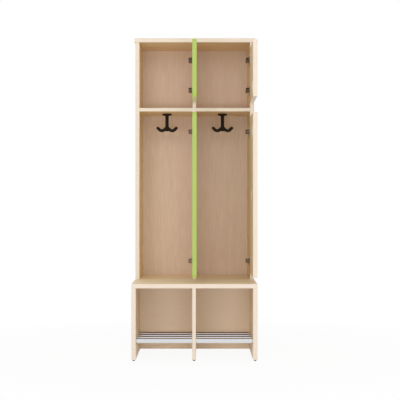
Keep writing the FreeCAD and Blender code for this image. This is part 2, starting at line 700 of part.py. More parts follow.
def arm_screw():
    """The screw that clamps the arm to the mounting plate."""
    head_start = ("-arm_reach - arm_screw_head_height", "arm_screw_setback", "0")
    head = rod("arm_screw_top", head_start, "arm_screw_head", "arm_screw_head_height", ALONG_X)
    shank_start = ("-arm_reach", "arm_screw_setback", "0")
    shank_length = "arm_reach - arm_screw_play"
    shank = rod("arm_screw_shank", shank_start, "arm_screw_radius", shank_length, ALONG_X)
    slot_low = (
        "-arm_reach - arm_screw_head_height - cut_overrun",
        "arm_screw_setback - arm_screw_head - cut_overrun",
        "-screw_slot / 2",
    )
    slot_high = (
        "-arm_reach - arm_screw_head_height / 2",
        "arm_screw_setback + arm_screw_head + cut_overrun",
        "screw_slot / 2",
    )
    slot = brick("arm_screw_slot", slot_low, slot_high)
    return cut("arm_screw", fuse("arm_screw_blank", [head, shank]), [slot])


hinge_pieces = {
    "hinge_cups": hinge_cup(),
    "hinge_arms": hinge_arm(),
    "hinge_plates": hinge_plate(),
}
hinge_pin = rod("hinge_pin", (POLE, POLE_Y, "-pin_length / 2"), "pin_radius", "pin_length")
cup_bore_start = ("-cut_overrun", CUP_Y, "0")
cup_bore_length = f"{CUP_DEPTH} + cup_wall + cup_play + cut_overrun"
cup_bore = rod("cup_bore", cup_bore_start, "cup_radius + cup_play", cup_bore_length, ALONG_X)
all_hinges = sum(hinge_places.values(), [])
node("hinge_pins", group("hinge_pin_set", copies("hinge_pin_copy", hinge_pin, all_hinges)))
node("hinge_arm_screws", group("arm_screw_set", copies("hinge_arm_screw", arm_screw(), all_hinges)))
plate_screws = copies("plate_screw", hinge_screw, sum(plate_screw_places.values(), []), POINT_RIGHT)
node("hinge_plate_screws", group("plate_screw_set", plate_screws))
plate_bores = {
    door: copies("plate_screw_bore", hinge_screw_bore, places, POINT_RIGHT)
    for door, places in plate_screw_places.items()
}


def door_board(door, face, row):
    """The board of a door, inside its edge band, with its round holes."""
    body = doc.addObject("PartDesign::Body", f"door_{door}_board")
    sketch = sketch_on(body, "YZ_Plane", (DOOR_EDGE, row["foot"], face))
    inner_corner = ("edge_band", "edge_band")
    outer_corner = ("door_width - edge_band", f"{row['height']} - edge_band")
    rectangle(sketch, "board", inner_corner, outer_corner)
    circle(sketch, "finger", ("finger_hole_inset", row["finger"]), "finger_hole_radius")
    if row is LOWER:
        circle(sketch, "vent", ("door_width / 2", f"{row['height']} / 2"), "vent_hole_radius")
    panel = pad(body, sketch, "outer_board")
    doc.recompute()
    rims = [
        f"Edge{number}" for number, edge in enumerate(panel.Shape.Edges, start=1)
        if isinstance(edge.Curve, Part.Circle)
    ]
    round_edges(body, panel, rims, "hole_round")
    return body


def door_band(door, face, row):
    """The edge band round a door."""
    body = doc.addObject("PartDesign::Body", f"door_{door}_band_ring")
    sketch = sketch_on(body, "YZ_Plane", (DOOR_EDGE, row["foot"], face))
    rectangle(sketch, "outer", ("0", "0"), ("door_width", row["height"]))
    inner_corner = ("edge_band", "edge_band")
    outer_corner = ("door_width - edge_band", f"{row['height']} - edge_band")
    rectangle(sketch, "inner", inner_corner, outer_corner)
    ring = pad(body, sketch, "outer_board")
    doc.recompute()
    edges = []
    for side in ("YMin", "YMax"):
        edges += straight_edges(ring.Shape, "Z", side) + straight_edges(ring.Shape, "X", side)
    for side in ("ZMin", "ZMax"):
        edges += straight_edges(ring.Shape, "Y", side)
    round_edges(body, ring, edges, "band_round")
    return body


# Doors, each with its band, cups and cup screws, and the arms and plates that carry it
for door, (face, row) in DOORS.items():
    cup_bores = copies(f"door_{door}_cup_bore", cup_bore, hinge_places[door])
    screw_bores = copies("cup_screw_bore", hinge_screw_bore, cup_screw_places[door], POINT_RIGHT)
    drilled = cut(f"door_{door}_drilled", door_board(door, face, row), cup_bores + screw_bores)
    node(f"door_{door}", drilled)
    node(f"door_band_{door}", door_band(door, face, row))
    for kind, master in hinge_pieces.items():
        node(f"{kind}_{door}", group(f"{kind}_{door}_pair", copies(kind, master, hinge_places[door])))
    cup_screws = copies("cup_screw", hinge_screw, cup_screw_places[door], POINT_RIGHT)
    node(f"cup_screws_{door}", group(f"cup_screws_{door}_set", cup_screws))

# Locker panels
locker_board_front = f"{LOCKER_FRONT} + edge_band"
side_hinge_bores = plate_bores["upper_right"] + plate_bores["lower_right"]
rebate_half = f"({SIDE_FACE} + back_rebate)"
rebate_low = (f"-{rebate_half}", BACK_FACE, f"{SEAT} - cut_overrun")
rebate_high = (rebate_half, f"{REAR} + cut_overrun", f"{TOP_UNDER} + cut_overrun")
rebate_tool = brick("back_rebate_tool", rebate_low, rebate_high)
for hand, low_x, high_x in (("left", f"-{SIDE}", f"-{SIDE_FACE}"), ("right", SIDE_FACE, SIDE)):
    side_low = (low_x, locker_board_front, SEAT)
    panel = block(f"locker_side_{hand}_board", side_low, (high_x, REAR, TOP_UNDER))
    rebated = cut(f"locker_side_{hand}_rebated", panel, [rebate_tool])
    side_tools = seat_bores[hand] + top_bores[hand] + shelf_bores[hand] + back_bores[hand]
    if hand == "right":
        side_tools = side_tools + side_hinge_bores
    node(f"locker_side_{hand}", cut(f"locker_side_{hand}_drilled", rebated, side_tools))
lower_low = (DIVIDER_LEFT, locker_board_front, SEAT)
lower_board = block("lower_divider_board", lower_low, (DIVIDER_RIGHT, BACK_FACE, SHELF_UNDER))
lower_tools = seat_bores["divider"] + middle_bores + back_bores["lower"] + plate_bores["lower_left"]
node("locker_divider_lower", cut("lower_divider_drilled", lower_board, lower_tools))
upper_low = (DIVIDER_LEFT, locker_board_front, SHELF_TOP)
upper_board = block("upper_divider_board", upper_low, (DIVIDER_RIGHT, BACK_FACE, TOP_UNDER))
upper_tools = top_bores["divider"] + middle_bores + back_bores["upper"] + plate_bores["upper_left"]
node("locker_divider_upper", cut("upper_divider_drilled", upper_board, upper_tools))
top_front = f"({LOCKER_FRONT} - top_overhang)"
top_side = f"({SIDE} + top_overhang)"
top_low = (f"edge_band - {top_side}", f"{top_front} + edge_band", TOP_UNDER)
top_board = block("top_board", top_low, (f"{top_side} - edge_band", REAR, TOP))
node("top_panel", cut("top_drilled", top_board, sum(top_bores.values(), [])))


# Coat hooks: the origin is on the shelf's underside, and the hook hangs down
def coat_hook():
    """A double hook: a round plate, a stem that widens downwards and two arms that turn up."""
    body = doc.addObject("PartDesign::Body", "coat_hook_casting")
    disc = body.newObject("PartDesign::AdditiveCylinder", "Plate")
    bind(disc, Radius="hook_plate_radius", Height="hook_plate_thickness")
    place(disc, ("0", "0", "-hook_plate_thickness"))
    doc.recompute()
    lower_rim = [
        f"Edge{number}" for number, edge in enumerate(disc.Shape.Edges, start=1)
        if edge.BoundBox.ZMax - disc.Shape.BoundBox.ZMin < SAME_PLANE
    ]
    round_edges(body, disc, lower_rim, "hook_plate_round")
    stem = body.newObject("PartDesign::AdditiveCylinder", "Stem")
    bind(stem, Radius="hook_stem_radius", Height="hook_stem_length")
    place(stem, ("0", "0", "-hook_stem_length - hook_plate_thickness / 2"))
    boss_z = "(hook_boss_rise + hook_boss_radius - hook_height)"
    stem_end = "(-hook_stem_length - hook_plate_thickness / 2)"
    flare = body.newObject("PartDesign::AdditiveCone", "Flare")
    bind(flare, Radius1="hook_boss_radius", Radius2="hook_stem_radius", Height=f"{stem_end} - {boss_z}")
    place(flare, ("0", "0", boss_z))
    boss = body.newObject("PartDesign::AdditiveSphere", "Boss")
    bind(boss, Radius="hook_boss_radius")
    place(boss, ("0", "0", boss_z))
    # Each arm leans half a right angle down to its bend, and half a right angle up to its tip
    slope = f"cos({RIGHT_ANGLE / 2} deg)"
    bend_z = "(hook_arm_radius + hook_bend_radius - hook_height)"
    bend_rise = f"(hook_bend_radius * {slope})"
    leg_run = f"(hook_tip_offset - hook_bend_offset - {bend_rise})"
    leg_z = f"{bend_z} - {bend_rise}"
    up = FreeCAD.Vector(0, 0, 1)
    bend_start = FreeCAD.Vector(-1, 0, -1)
    bend_sweep = FreeCAD.Vector(1, 0, -1)
    bend_turn = FreeCAD.Rotation(bend_start, bend_sweep, bend_start.cross(bend_sweep), "XYZ")
    for sign, hand in (("-", -1), ("", 1)):
        elbow = body.newObject("PartDesign::AdditiveTorus", "Elbow")
        elbow.Angle3 = RIGHT_ANGLE
        bind(elbow, Radius1="hook_bend_radius", Radius2="hook_arm_radius")
        place(elbow, (f"{sign}hook_bend_offset", "0", bend_z), bend_turn)
        inner_leg = body.newObject("PartDesign::AdditiveCylinder", "InnerLeg")
        inner_length = f"hook_bend_offset / {slope} - hook_bend_radius"
        bind(inner_leg, Radius="hook_arm_radius", Height=inner_length)
        inner_turn = FreeCAD.Rotation(up, FreeCAD.Vector(-hand, 0, 1))
        place(inner_leg, (f"{sign}(hook_bend_offset - {bend_rise})", "0", leg_z), inner_turn)
        outer_leg = body.newObject("PartDesign::AdditiveCylinder", "OuterLeg")
        bind(outer_leg, Radius="hook_arm_radius", Height=f"{leg_run} / {slope}")
        outer_turn = FreeCAD.Rotation(up, FreeCAD.Vector(hand, 0, 1))
        place(outer_leg, (f"{sign}(hook_bend_offset + {bend_rise})", "0", leg_z), outer_turn)
        tip = body.newObject("PartDesign::AdditiveSphere", "Tip")
        bind(tip, Radius="hook_arm_radius")
        place(tip, (f"{sign}hook_tip_offset", "0", f"{leg_z} + {leg_run}"))
    return body


hook_screw_offsets = [("0", f"{sign}hook_screw_offset", "-hook_plate_thickness") for sign in ("-", "")]
hook_holes = copies("hook_screw_hole", board_screw_bore, hook_screw_offsets, POINT_UP)
hook_master = cut("coat_hook", coat_hook(), hook_holes)
hook_y = f"{LOCKER_FRONT} + hook_setback"
hook_places = {
    "left": (LEFT_BAY_MIDDLE, hook_y, SHELF_UNDER),
    "right": (RIGHT_BAY_MIDDLE, hook_y, SHELF_UNDER),
}
for hand, at in hook_places.items():
    hook = copies("coat_hook_copy", hook_master, [at])
    node(f"coat_hook_{hand}", group(f"coat_hook_{hand}_piece", hook))
hook_screw_places = offset_places(hook_places.values(), hook_screw_offsets)
hook_screws = copies("hook_screw", board_screw, hook_screw_places, POINT_UP)
node("coat_hook_screws", group("hook_screw_set", hook_screws))
hook_bores = copies("hook_screw_bore", board_screw_bore, hook_screw_places, POINT_UP)

# Shelf
shelf_low = (f"-{SIDE_FACE}", locker_board_front, SHELF_UNDER)
shelf_board = block("shelf_board", shelf_low, (SIDE_FACE, BACK_FACE, SHELF_TOP))
shelf_tools = shelf_bores["left"] + shelf_bores["right"] + middle_bores + hook_bores
node("shelf", cut("shelf_drilled", shelf_board, shelf_tools))

# Edge bands: front strips between two corners, upright or level, and side strips on the top and bench
UPRIGHT_FRONT = (("Z", "YMin"),)
LEVEL_FRONT = (("X", "YMin"), ("Z", "YMin"))
SHELF_FRONT = (("X", "YMin"),)
LEFT_SIDE = (("Y", "XMin"),)
RIGHT_SIDE = (("Y", "XMax"),)


def strip(name, front, xs, zs, rounded):
    """A strip of edge band on a board's front."""
    low = (xs[0], front, zs[0])
    return block(name, low, (xs[1], f"{front} + edge_band", zs[1]), rounded)


def side_strips(name, half, front, zs):
    """Strips of edge band on the left and right edges of a board."""
    start = f"{front} + edge_band"
    left_low = (f"-{half}", start, zs[0])
    left = block(f"{name}_left", left_low, (f"edge_band - {half}", REAR, zs[1]), LEFT_SIDE)
    right_low = (f"{half} - edge_band", start, zs[0])
    right = block(f"{name}_right", right_low, (half, REAR, zs[1]), RIGHT_SIDE)
    return [left, right]


LEFT_XS = (f"-{SIDE}", f"-{SIDE_FACE}")
DIVIDER_XS = (DIVIDER_LEFT, DIVIDER_RIGHT)
RIGHT_XS = (SIDE_FACE, SIDE)
SHELF_XS = (f"-{SIDE_FACE}", SIDE_FACE)
base_strips = [
    strip("base_band", BENCH_FRONT, xs, (FOOT, BENCH_UNDER), UPRIGHT_FRONT)
    for xs in (LEFT_XS, DIVIDER_XS, RIGHT_XS)
]
node("edge_bands_base", group("base_band_set", base_strips))
bench_zs = (BENCH_UNDER, SEAT)
bench_front_strip = strip("bench_band", BENCH_FRONT, (f"-{SIDE}", SIDE), bench_zs, LEVEL_FRONT)
bench_strips = [bench_front_strip] + side_strips("bench_band", SIDE, BENCH_FRONT, bench_zs)
node("edge_bands_bench", group("bench_band_set", bench_strips))
locker_strips = [
    strip("side_band", LOCKER_FRONT, LEFT_XS, (SEAT, TOP_UNDER), UPRIGHT_FRONT),
    strip("side_band", LOCKER_FRONT, RIGHT_XS, (SEAT, TOP_UNDER), UPRIGHT_FRONT),
    strip("divider_band", LOCKER_FRONT, DIVIDER_XS, (SEAT, SHELF_UNDER), UPRIGHT_FRONT),
    strip("divider_band", LOCKER_FRONT, DIVIDER_XS, (SHELF_TOP, TOP_UNDER), UPRIGHT_FRONT),
    strip("shelf_band", LOCKER_FRONT, SHELF_XS, (SHELF_UNDER, SHELF_TOP), SHELF_FRONT),
]
node("edge_bands_locker", group("locker_band_set", locker_strips))
top_zs = (TOP_UNDER, TOP)
top_front_strip = strip("top_band", top_front, (f"-{top_side}", top_side), top_zs, LEVEL_FRONT)
top_strips = [top_front_strip] + side_strips("top_band", top_side, top_front, top_zs)
node("edge_bands_top", group("top_band_set", top_strips))

# Build everything, and stop if a piece failed
doc.recompute()
failed = [
    piece.Label for piece in doc.Objects
    if "Invalid" in piece.State or "Error" in piece.State
]
for label, piece in nodes.items():
    if piece.Shape.isNull() or not piece.Shape.isValid() or not piece.Shape.Solids:
        failed.append(label)
if failed:
    raise RuntimeError("pieces that failed: " + ", ".join(failed))

# One file for each sub-part
os.makedirs("parts", exist_ok=True)
for label, piece in nodes.items():
    piece.Shape.exportStep(f"parts/{label}.step")
print(f"{len(nodes)} sub-parts written")
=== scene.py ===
import math

import bmesh
import bpy
from bpy.props import FloatProperty, FloatVectorProperty, PointerProperty
from mathutils import Color, Matrix, Vector


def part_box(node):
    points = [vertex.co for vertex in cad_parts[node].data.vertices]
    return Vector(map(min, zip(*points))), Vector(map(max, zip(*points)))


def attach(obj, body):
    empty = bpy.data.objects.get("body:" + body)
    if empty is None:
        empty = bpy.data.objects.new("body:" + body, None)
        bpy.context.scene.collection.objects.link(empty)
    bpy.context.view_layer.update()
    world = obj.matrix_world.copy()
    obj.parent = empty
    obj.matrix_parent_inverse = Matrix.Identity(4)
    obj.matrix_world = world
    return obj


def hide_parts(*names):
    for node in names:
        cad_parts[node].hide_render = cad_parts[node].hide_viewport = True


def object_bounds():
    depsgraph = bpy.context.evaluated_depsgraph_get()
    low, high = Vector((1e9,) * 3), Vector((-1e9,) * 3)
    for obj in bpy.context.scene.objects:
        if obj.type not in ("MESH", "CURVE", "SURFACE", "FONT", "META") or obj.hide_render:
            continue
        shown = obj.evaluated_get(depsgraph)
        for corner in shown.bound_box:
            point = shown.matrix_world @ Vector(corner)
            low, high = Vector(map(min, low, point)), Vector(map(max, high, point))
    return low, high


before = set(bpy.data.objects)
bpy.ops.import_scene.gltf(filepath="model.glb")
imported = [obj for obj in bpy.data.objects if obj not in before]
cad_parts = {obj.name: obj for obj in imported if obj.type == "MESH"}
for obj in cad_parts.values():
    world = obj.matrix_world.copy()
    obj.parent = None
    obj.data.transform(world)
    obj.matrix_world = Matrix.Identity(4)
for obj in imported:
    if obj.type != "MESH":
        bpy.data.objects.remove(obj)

bl_info = {
    "name": "Cloakroom Locker",
    "version": (1, 0, 0),
    "blender": (4, 5, 0),
    "location": "View3D > Sidebar > Locker",
    "description": "Finishes and fittings of a two-place cloakroom locker with a bench and a shoe rack",
    "category": "Object",
}

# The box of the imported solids, before anything is added
CAD_LOW, CAD_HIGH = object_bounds()

# Names shared by the nodes of the frame
DOORS = ("upper_left", "upper_right", "lower_left", "lower_right")
LIME_DOORS = ("upper_left", "lower_left")
CARCASS = "carcass"

# Boards by the direction of their grain, in the darker maple tone: painted shade inside the locker
INNER_BOARDS = {"locker_divider_lower": "Z", "locker_divider_upper": "Z", "shelf": "X"}
# Boards of the locker's shell: the grain, the axis through the board, and whether it points outwards
OUTER_BOARDS = {
    "locker_side_left": ("Z", "X", False),
    "locker_side_right": ("Z", "X", True),
    "top_panel": ("X", "Z", True),
}
BASE_BOARDS = ("base_side_left", "base_side_right", "base_divider")
DOWELS = ("base_dowels", "seat_dowels", "shelf_dowels", "divider_dowels", "top_dowels")
SCREWS = (
    "hinge_plate_screws", "hinge_arm_screws", "coat_hook_screws", "back_panel_screws", "hinge_pins",
)
RACK_TUBES = ("shoe_rack_tube_1", "shoe_rack_tube_2", "shoe_rack_tube_3", "shoe_rack_tube_4")

# Round holes of the doors in metres: a finger hole by the free edge, and a vent in the middle of a tall door
FINGER_RADIUS = 0.025
FINGER_INSET = 0.050
UPPER_FINGER_RISE = 0.0485
LOWER_FINGER_DROP = 0.070
VENT_RADIUS = 0.0215
# Radii of a glide's rim and of its sole in metres
RIM_RADIUS = 0.0065
SOLE_RADIUS = 0.0045

# How much a grain pattern is drawn out along the board
GRAIN_STRETCH = 0.05
GRAIN_SCALES = {
    "X": (GRAIN_STRETCH, 1, 1),
    "Z": (1, 1, GRAIN_STRETCH),
}
# Each board is cut from its own place of the pattern, this far from the last one
BOARD_STEP = 1.7
# Number of that place for each further kind of board, or of the first where there are several
BASE_PLACE = 10
BENCH_PLACE = 18
CLOSING_PLACE = 19
BACK_PLACE = 20
DOWEL_PLACE = 23
BAND_PLACE = 24
DOOR_EDGE_PLACE = 30
DOOR_PLACE = 31
# How strongly the print shows on boards that differ from the rest
CLOSING_CONTRAST = 0.35
BACK_CONTRAST = 1.2
BAND_CONTRAST = 0.8

# The printed grain: number of rings, how deep each part of the print is, and its middle tone
RING_COUNT = 62.0
RING_DEPTH = 0.07
STREAK_DEPTH = 0.9
FIBRE_DEPTH = 2.8
PORE_DEPTH = 0.35
PORE_PIT = 0.8
PRINT_MIDDLE = 0.42
# Plated metal: how much marks darken it and take away its gloss, and how much its lines vary the gloss
MARK_DARKENING = 0.12
MARK_DULLING = 0.1
LINE_SPREAD = 0.3
# The middle height of a noise pattern
NOISE_MIDDLE = 0.5

# How far a finish is raised by its pattern: strength, and depth in metres
GRAIN_RELIEF = (0.12, 0.0002)
FACING_RELIEF = (0.1, 0.0001)
CASTING_RELIEF = (0.2, 0.0002)
PLATING_DEPTH = 0.00005
# Lines of the plating, in repeats per metre, and how they are drawn out along the rack's tubes
HINGE_LINES = 900.0
SCREW_LINES = 1200.0
TUBE_LINES = 500.0
TUBE_STRETCH = (0.02, 1, 1)

# Steps round the turned shapes and the hooks' arms
STEM_STEPS = 48
ARM_STEPS = 32
BEND_STEPS = 14
TIP_RINGS = 16
GLIDE_STEPS = 32
# Points nearer than this are one, and on a hook those nearer than this part of its mesh cells
MERGE_DISTANCE = 1e-6
CELL_PARTS = 10
# How the joints of a casting are smoothed
SOFT_SHARE = 0.5
SOFT_ROUNDS = 2

# Angles in degrees: faces that count as flat, edges that are softened, and creases that stay in the shading
FLAT_ANGLE = 1
SHARP_ANGLE = 40
SHEET_CREASE = 35
GLIDE_CREASE = 50

FULL_TURN = 2 * math.pi
RIGHT_ANGLE = math.pi / 2
# How far a step on a slope of half a right angle reaches along each axis
SLOPE = math.cos(RIGHT_ANGLE / 2)

BLACK = (0, 0, 0, 1)
WHITE = (1, 1, 1, 1)

# Soft lamps: the setting of their power, their place, width and height
LAMPS = {
    "key_light": ("key_power", (-0.3, -4.4, 0.36), 3.2, 0.6),
    "high_light": ("high_power", (-0.3, -3.8, 2.4), 3.2, 1.6),
    "top_light": ("top_power", (0.0, -1.2, 3.8), 3.0, 3.0),
}


def length(name, description, default):
    """A property that holds a length in metres."""
    return FloatProperty(
        name=name, description=description, default=default, min=0, subtype="DISTANCE", unit="LENGTH",
    )


def power(name, description, default):
    """A property that holds the power of a lamp in watts."""
    return FloatProperty(name=name, description=description, default=default, min=0, unit="POWER")


def colour(name, description, default):
    """A property that holds a colour as it shows on a screen."""
    return FloatVectorProperty(
        name=name, description=description, default=default, size=3, min=0, max=1, subtype="COLOR_GAMMA",
    )


def amount(name, description, default):
    """A property that holds a plain number from nothing upwards."""
    return FloatProperty(name=name, description=description, default=default, min=0)


class LockerColours(bpy.types.PropertyGroup):
    """Colours of the boards and fittings."""

    # One maple in two tones. The darker, warmer pair is painted shade inside the locker. The paler pair is
    # the maple's own tone outside, and painted light on the shoe bay's sides and on the doors.
    shaded_maple_pale: colour("Maple, pale", "Pale streaks of the faced boards", (0.958, 0.845, 0.680))
    shaded_maple_deep: colour("Maple, deep", "Deep streaks of the faced boards", (0.915, 0.785, 0.605))
    lit_maple_pale: colour("Fair maple, pale", "Pale streaks of the bench and the doors", (0.982, 0.897, 0.775))
    lit_maple_deep: colour("Fair maple, deep", "Deep streaks of the bench and the doors", (0.950, 0.850, 0.715))
    edge_pale: colour("Maple edge, pale", "Pale streaks of the edge bands", (0.942, 0.886, 0.822))
    edge_deep: colour("Maple edge, deep", "Deep streaks of the edge bands", (0.911, 0.839, 0.756))
    back_pale: colour("Back, pale", "Pale streaks of the back panel", (0.915, 0.830, 0.755))
    back_deep: colour("Back, deep", "Deep streaks of the back panel", (0.870, 0.776, 0.692))
    # The tones of the panel behind the shoes are paler than the maple's: painted light where the shoe bay
    # lies in shade.
    lit_closing_pale: colour(
        "Closing panel, pale", "Pale streaks of the panel behind the shoes", (0.985, 0.905, 0.805),
    )
    lit_closing_deep: colour(
        "Closing panel, deep", "Deep streaks of the panel behind the shoes", (0.955, 0.862, 0.745),
    )
    lime_face: colour("Lime", "Faces of the green doors", (0.675, 0.783, 0.332))
    lime_edge: colour("Lime edge", "Edge bands of the green doors", (0.686, 0.775, 0.391))
    # Painted light: the undersides of the green edge bands are paler, standing in for light from below
    lime_underlight: colour("Lime foot", "Undersides of the green edge bands", (0.860, 0.920, 0.620))
    # A deeper green near the top and bottom of each green edge band
    lime_band_ends: colour("Lime joint", "Ends of the green edge bands", (0.650, 0.740, 0.300))
    dowel: colour("Dowel", "Beech dowels", (0.820, 0.660, 0.480))
    # One nickel in three tones. The cups' warm tint is partly a painted reflection of the maple. The plates'
    # darker tone and the arms' dark brown tone are painted shade, with the mirrored wood painted in.
    nickel: colour("Nickel", "Hinge cups", (0.930, 0.862, 0.850))
    plate: colour("Dull nickel", "Hinge plates", (0.740, 0.640, 0.570))
    shaded_nickel: colour("Dark nickel", "Hinge arms", (0.405, 0.305, 0.228))
    zinc: colour("Zinc", "Screws", (0.820, 0.825, 0.830))
    # A dark sheet under the bench: painted shade where its underside lies in shade, mirrored by the rack's
    # tubes
    shadowing: colour("Shadowing", "Backing sheet under the bench", (0.640, 0.520, 0.395))
    chrome: colour("Chrome", "Rack tubes", (0.880, 0.886, 0.896))
    hook: colour("Hook", "Coat hooks", (0.128, 0.098, 0.072))
    glide: colour("Glide", "Glides under the base", (0.560, 0.565, 0.580))


class LockerHookSizes(bpy.types.PropertyGroup):
    """Sizes of the cast coat hooks."""

    plate_radius: length("Plate radius", "Radius of the round plate under the shelf", 0.0212)
    plate_thickness: length("Plate thickness", "Thickness of the round plate", 0.0072)
    plate_round: length("Plate rounding", "Rounding of the plate's lower rim", 0.0022)
    stem_radius: length("Stem radius", "Radius of the stem at its neck", 0.0076)
    neck_fillet: length("Neck fillet", "Fillet between the plate and the stem", 0.004)
    boss_radius: length("Boss radius", "Radius of the boss where the arms meet", 0.0105)
    boss_rise: length("Boss rise", "Height of the boss's foot above the arms' foot", 0.003)
    arm_radius: length("Arm radius", "Radius of the arms", 0.0068)
    bend_radius: length("Bend radius", "Radius of the arms' bends", 0.016)
    bend_offset: length("Bend offset", "Distance of the bends from the stem's axis", 0.0225)
    tip_offset: length("Tip offset", "Distance of the tips from the stem's axis", 0.0405)
    grain: length("Casting grain", "Size of the mesh cells of the casting", 0.0009)


class LockerFittingSizes(bpy.types.PropertyGroup):
    """Sizes of the softened edges, of the toned places on boards and bands, and of the glides."""

    sheet_edge: length("Sheet edge", "Softening of the hinge sheet's edges", 0.00035)
    # Height of the painted shade under the bench
    shadowing: length("Shadowing", "Thickness of the backing sheet under the bench", 0.0002)
    hole_round: length("Hole rounding", "Width of the pale rim of a door's hole", 0.0018)
    foot_deepening: length("Foot deepening", "Deeper green at the foot of a green edge band", 0.011)
    # Painted light under a green edge band: how deep its paler underside reaches
    underlight_depth: length("Foot skin", "Thickness of the paler skin under a green edge band", 0.0006)
    head_deepening: length("Head deepening", "Deeper green at the head of a green edge band", 0.007)
    band_fade: length("Band fade", "How softly the deeper green of an edge band ends", 0.003)
    glide_rim: length("Glide rim", "Height of the glide's rim under the panel", 0.0022)
    glide_round: length("Glide rounding", "Rounding of the glide's foot", 0.0014)
    glide_waist: length("Glide waist", "How far the glide's waist is drawn in", 0.0006)


class LockerStage(bpy.types.PropertyGroup):
    """The floor, the light and the camera."""

    floor_size: length("Floor", "Side of the square floor", 30.0)
    floor_colour: colour("Floor colour", "Colour of the pale floor", (0.985, 0.985, 0.985))
    floor_white: amount("Floor white", "Share of plain white in the floor as it is seen and mirrored", 0.92)
    floor_fade: length("Floor fade", "Distance at which the floor is plain white", 1.4)
    sky_fill: amount("Sky fill", "Light of the white surroundings on the object", 0.66)
    key_power: power("Key light", "Power of the soft light in front", 40)
    high_power: power("High light", "Power of the soft light in front and above", 22)
    top_power: power("Top light", "Power of the soft light above", 11)
    camera_place: FloatVectorProperty(
        name="Camera", description="Place of the camera", default=(0.0225, -4.217, 0.652),
        subtype="TRANSLATION", unit="LENGTH",
    )
    lens: FloatProperty(name="Lens", description="Focal length in millimetres", default=88.47, min=1)


# Shader helpers
def linear(shown):
    """A shown colour as the four linear numbers of a shader socket."""
    return (*Color(shown).from_srgb_to_scene_linear(), 1.0)


def add_node(tree, kind, settings=None, **inputs):
    """A new shader node with its settings and with values or links for its inputs, named with underscores."""
    made = tree.nodes.new(kind)
    for name, value in (settings or {}).items():
        setattr(made, name, value)
    for name, value in inputs.items():
        feed(tree, made.inputs[name.replace("_", " ")], value)
    return made


def feed(tree, socket, value):
    """Give a socket a value, or link it to another socket."""
    if isinstance(value, bpy.types.NodeSocket):
        tree.links.new(value, socket)
    else:
        socket.default_value = value


def maths(tree, operation, first, second=0.0, clamp=False):
    """The result of a calculation with one or two values or sockets."""
    made = tree.nodes.new("ShaderNodeMath")
    made.operation = operation
    made.use_clamp = clamp
    feed(tree, made.inputs[0], first)
    feed(tree, made.inputs[1], second)
    return made.outputs[0]


def mixed(tree, share, first, second):
    """A colour between two others."""
    made = tree.nodes.new("ShaderNodeMix")
    made.data_type = "RGBA"
    feed(tree, made.inputs["Factor"], share)
    feed(tree, made.inputs["A"], first)
    feed(tree, made.inputs["B"], second)
    return next(socket for socket in made.outputs if socket.type == "RGBA")


def chosen(tree, share, first, second):
    """A value between two others."""
    made = add_node(tree, "ShaderNodeMix", Factor=share, A=first, B=second)
    return made.outputs["Result"]


def remapped(tree, value, low, high, new_low, new_high):
    """A value moved from one range to another, and kept inside it."""
    made = add_node(
        tree, "ShaderNodeMapRange",
        Value=value, From_Min=low, From_Max=high, To_Min=new_low, To_Max=new_high,
    )
    return made.outputs["Result"]


def between(tree, value, low, high):
    """One where a value lies between two others, and nothing elsewhere."""
    over = maths(tree, "GREATER_THAN", value, low)
    return maths(tree, "MULTIPLY", over, maths(tree, "LESS_THAN", value, high))


def noise(tree, vector, scale, detail, roughness=0.5):
    """The height of a noise pattern, about one half on average."""
    made = add_node(
        tree, "ShaderNodeTexNoise", Vector=vector, Scale=scale, Detail=detail, Roughness=roughness,
    )
    return made.outputs["Fac"]


def new_group(name, inputs, outputs):
    """An empty shader node group with its named sockets."""
    group = bpy.data.node_groups.new(name, "ShaderNodeTree")
    for label, kind in inputs.items():
        group.interface.new_socket(label, in_out="INPUT", socket_type=kind)
    for label, kind in outputs.items():
        group.interface.new_socket(label, in_out="OUTPUT", socket_type=kind)
    source = group.nodes.new("NodeGroupInput")
    result = group.nodes.new("NodeGroupOutput")
    return group, source.outputs, result.inputs


def board_grain_group():
    """Printed maple: flowing figure, fine fibres and short pores, drawn out along the board."""
    group, given, result = new_group(
        "Board Grain",
        {"Vector": "NodeSocketVector", "Pale": "NodeSocketColor", "Deep": "NodeSocketColor",
         "Contrast": "NodeSocketFloat"},
        {"Color": "NodeSocketColor", "Roughness": "NodeSocketFloat", "Height": "NodeSocketFloat"},
    )
    vector = given["Vector"]
    figure = noise(group, vector, scale=5.5, detail=2.0, roughness=0.45)
    rings = maths(group, "SINE", maths(group, "MULTIPLY", figure, RING_COUNT))
    bands = noise(group, vector, scale=60.0, detail=3.0, roughness=0.6)
    fibres = noise(group, vector, scale=260.0, detail=4.0, roughness=0.62)
    pits = noise(group, vector, scale=620.0, detail=1.0)
    pores = remapped(group, pits, low=0.63, high=0.75, new_low=0.0, new_high=1.0)
    flow = maths(group, "MULTIPLY", rings, RING_DEPTH)
    streaks = maths(group, "MULTIPLY", maths(group, "SUBTRACT", bands, NOISE_MIDDLE), STREAK_DEPTH)
    fine = maths(group, "MULTIPLY", maths(group, "SUBTRACT", fibres, NOISE_MIDDLE), FIBRE_DEPTH)
    print_depth = maths(group, "ADD", flow, maths(group, "ADD", streaks, fine))
    printed = maths(group, "MULTIPLY", print_depth, given["Contrast"])
    share = maths(group, "ADD", printed, PRINT_MIDDLE, clamp=True)
    pored = maths(group, "ADD", share, maths(group, "MULTIPLY", pores, PORE_DEPTH), clamp=True)
    feed(group, result["Color"], mixed(group, pored, given["Pale"], given["Deep"]))
    roughness = remapped(group, fibres, low=0.3, high=0.7, new_low=0.40, new_high=0.52)
    feed(group, result["Roughness"], roughness)
    pitted = maths(group, "SUBTRACT", fibres, maths(group, "MULTIPLY", pores, PORE_PIT))
    feed(group, result["Height"], pitted)
    return group


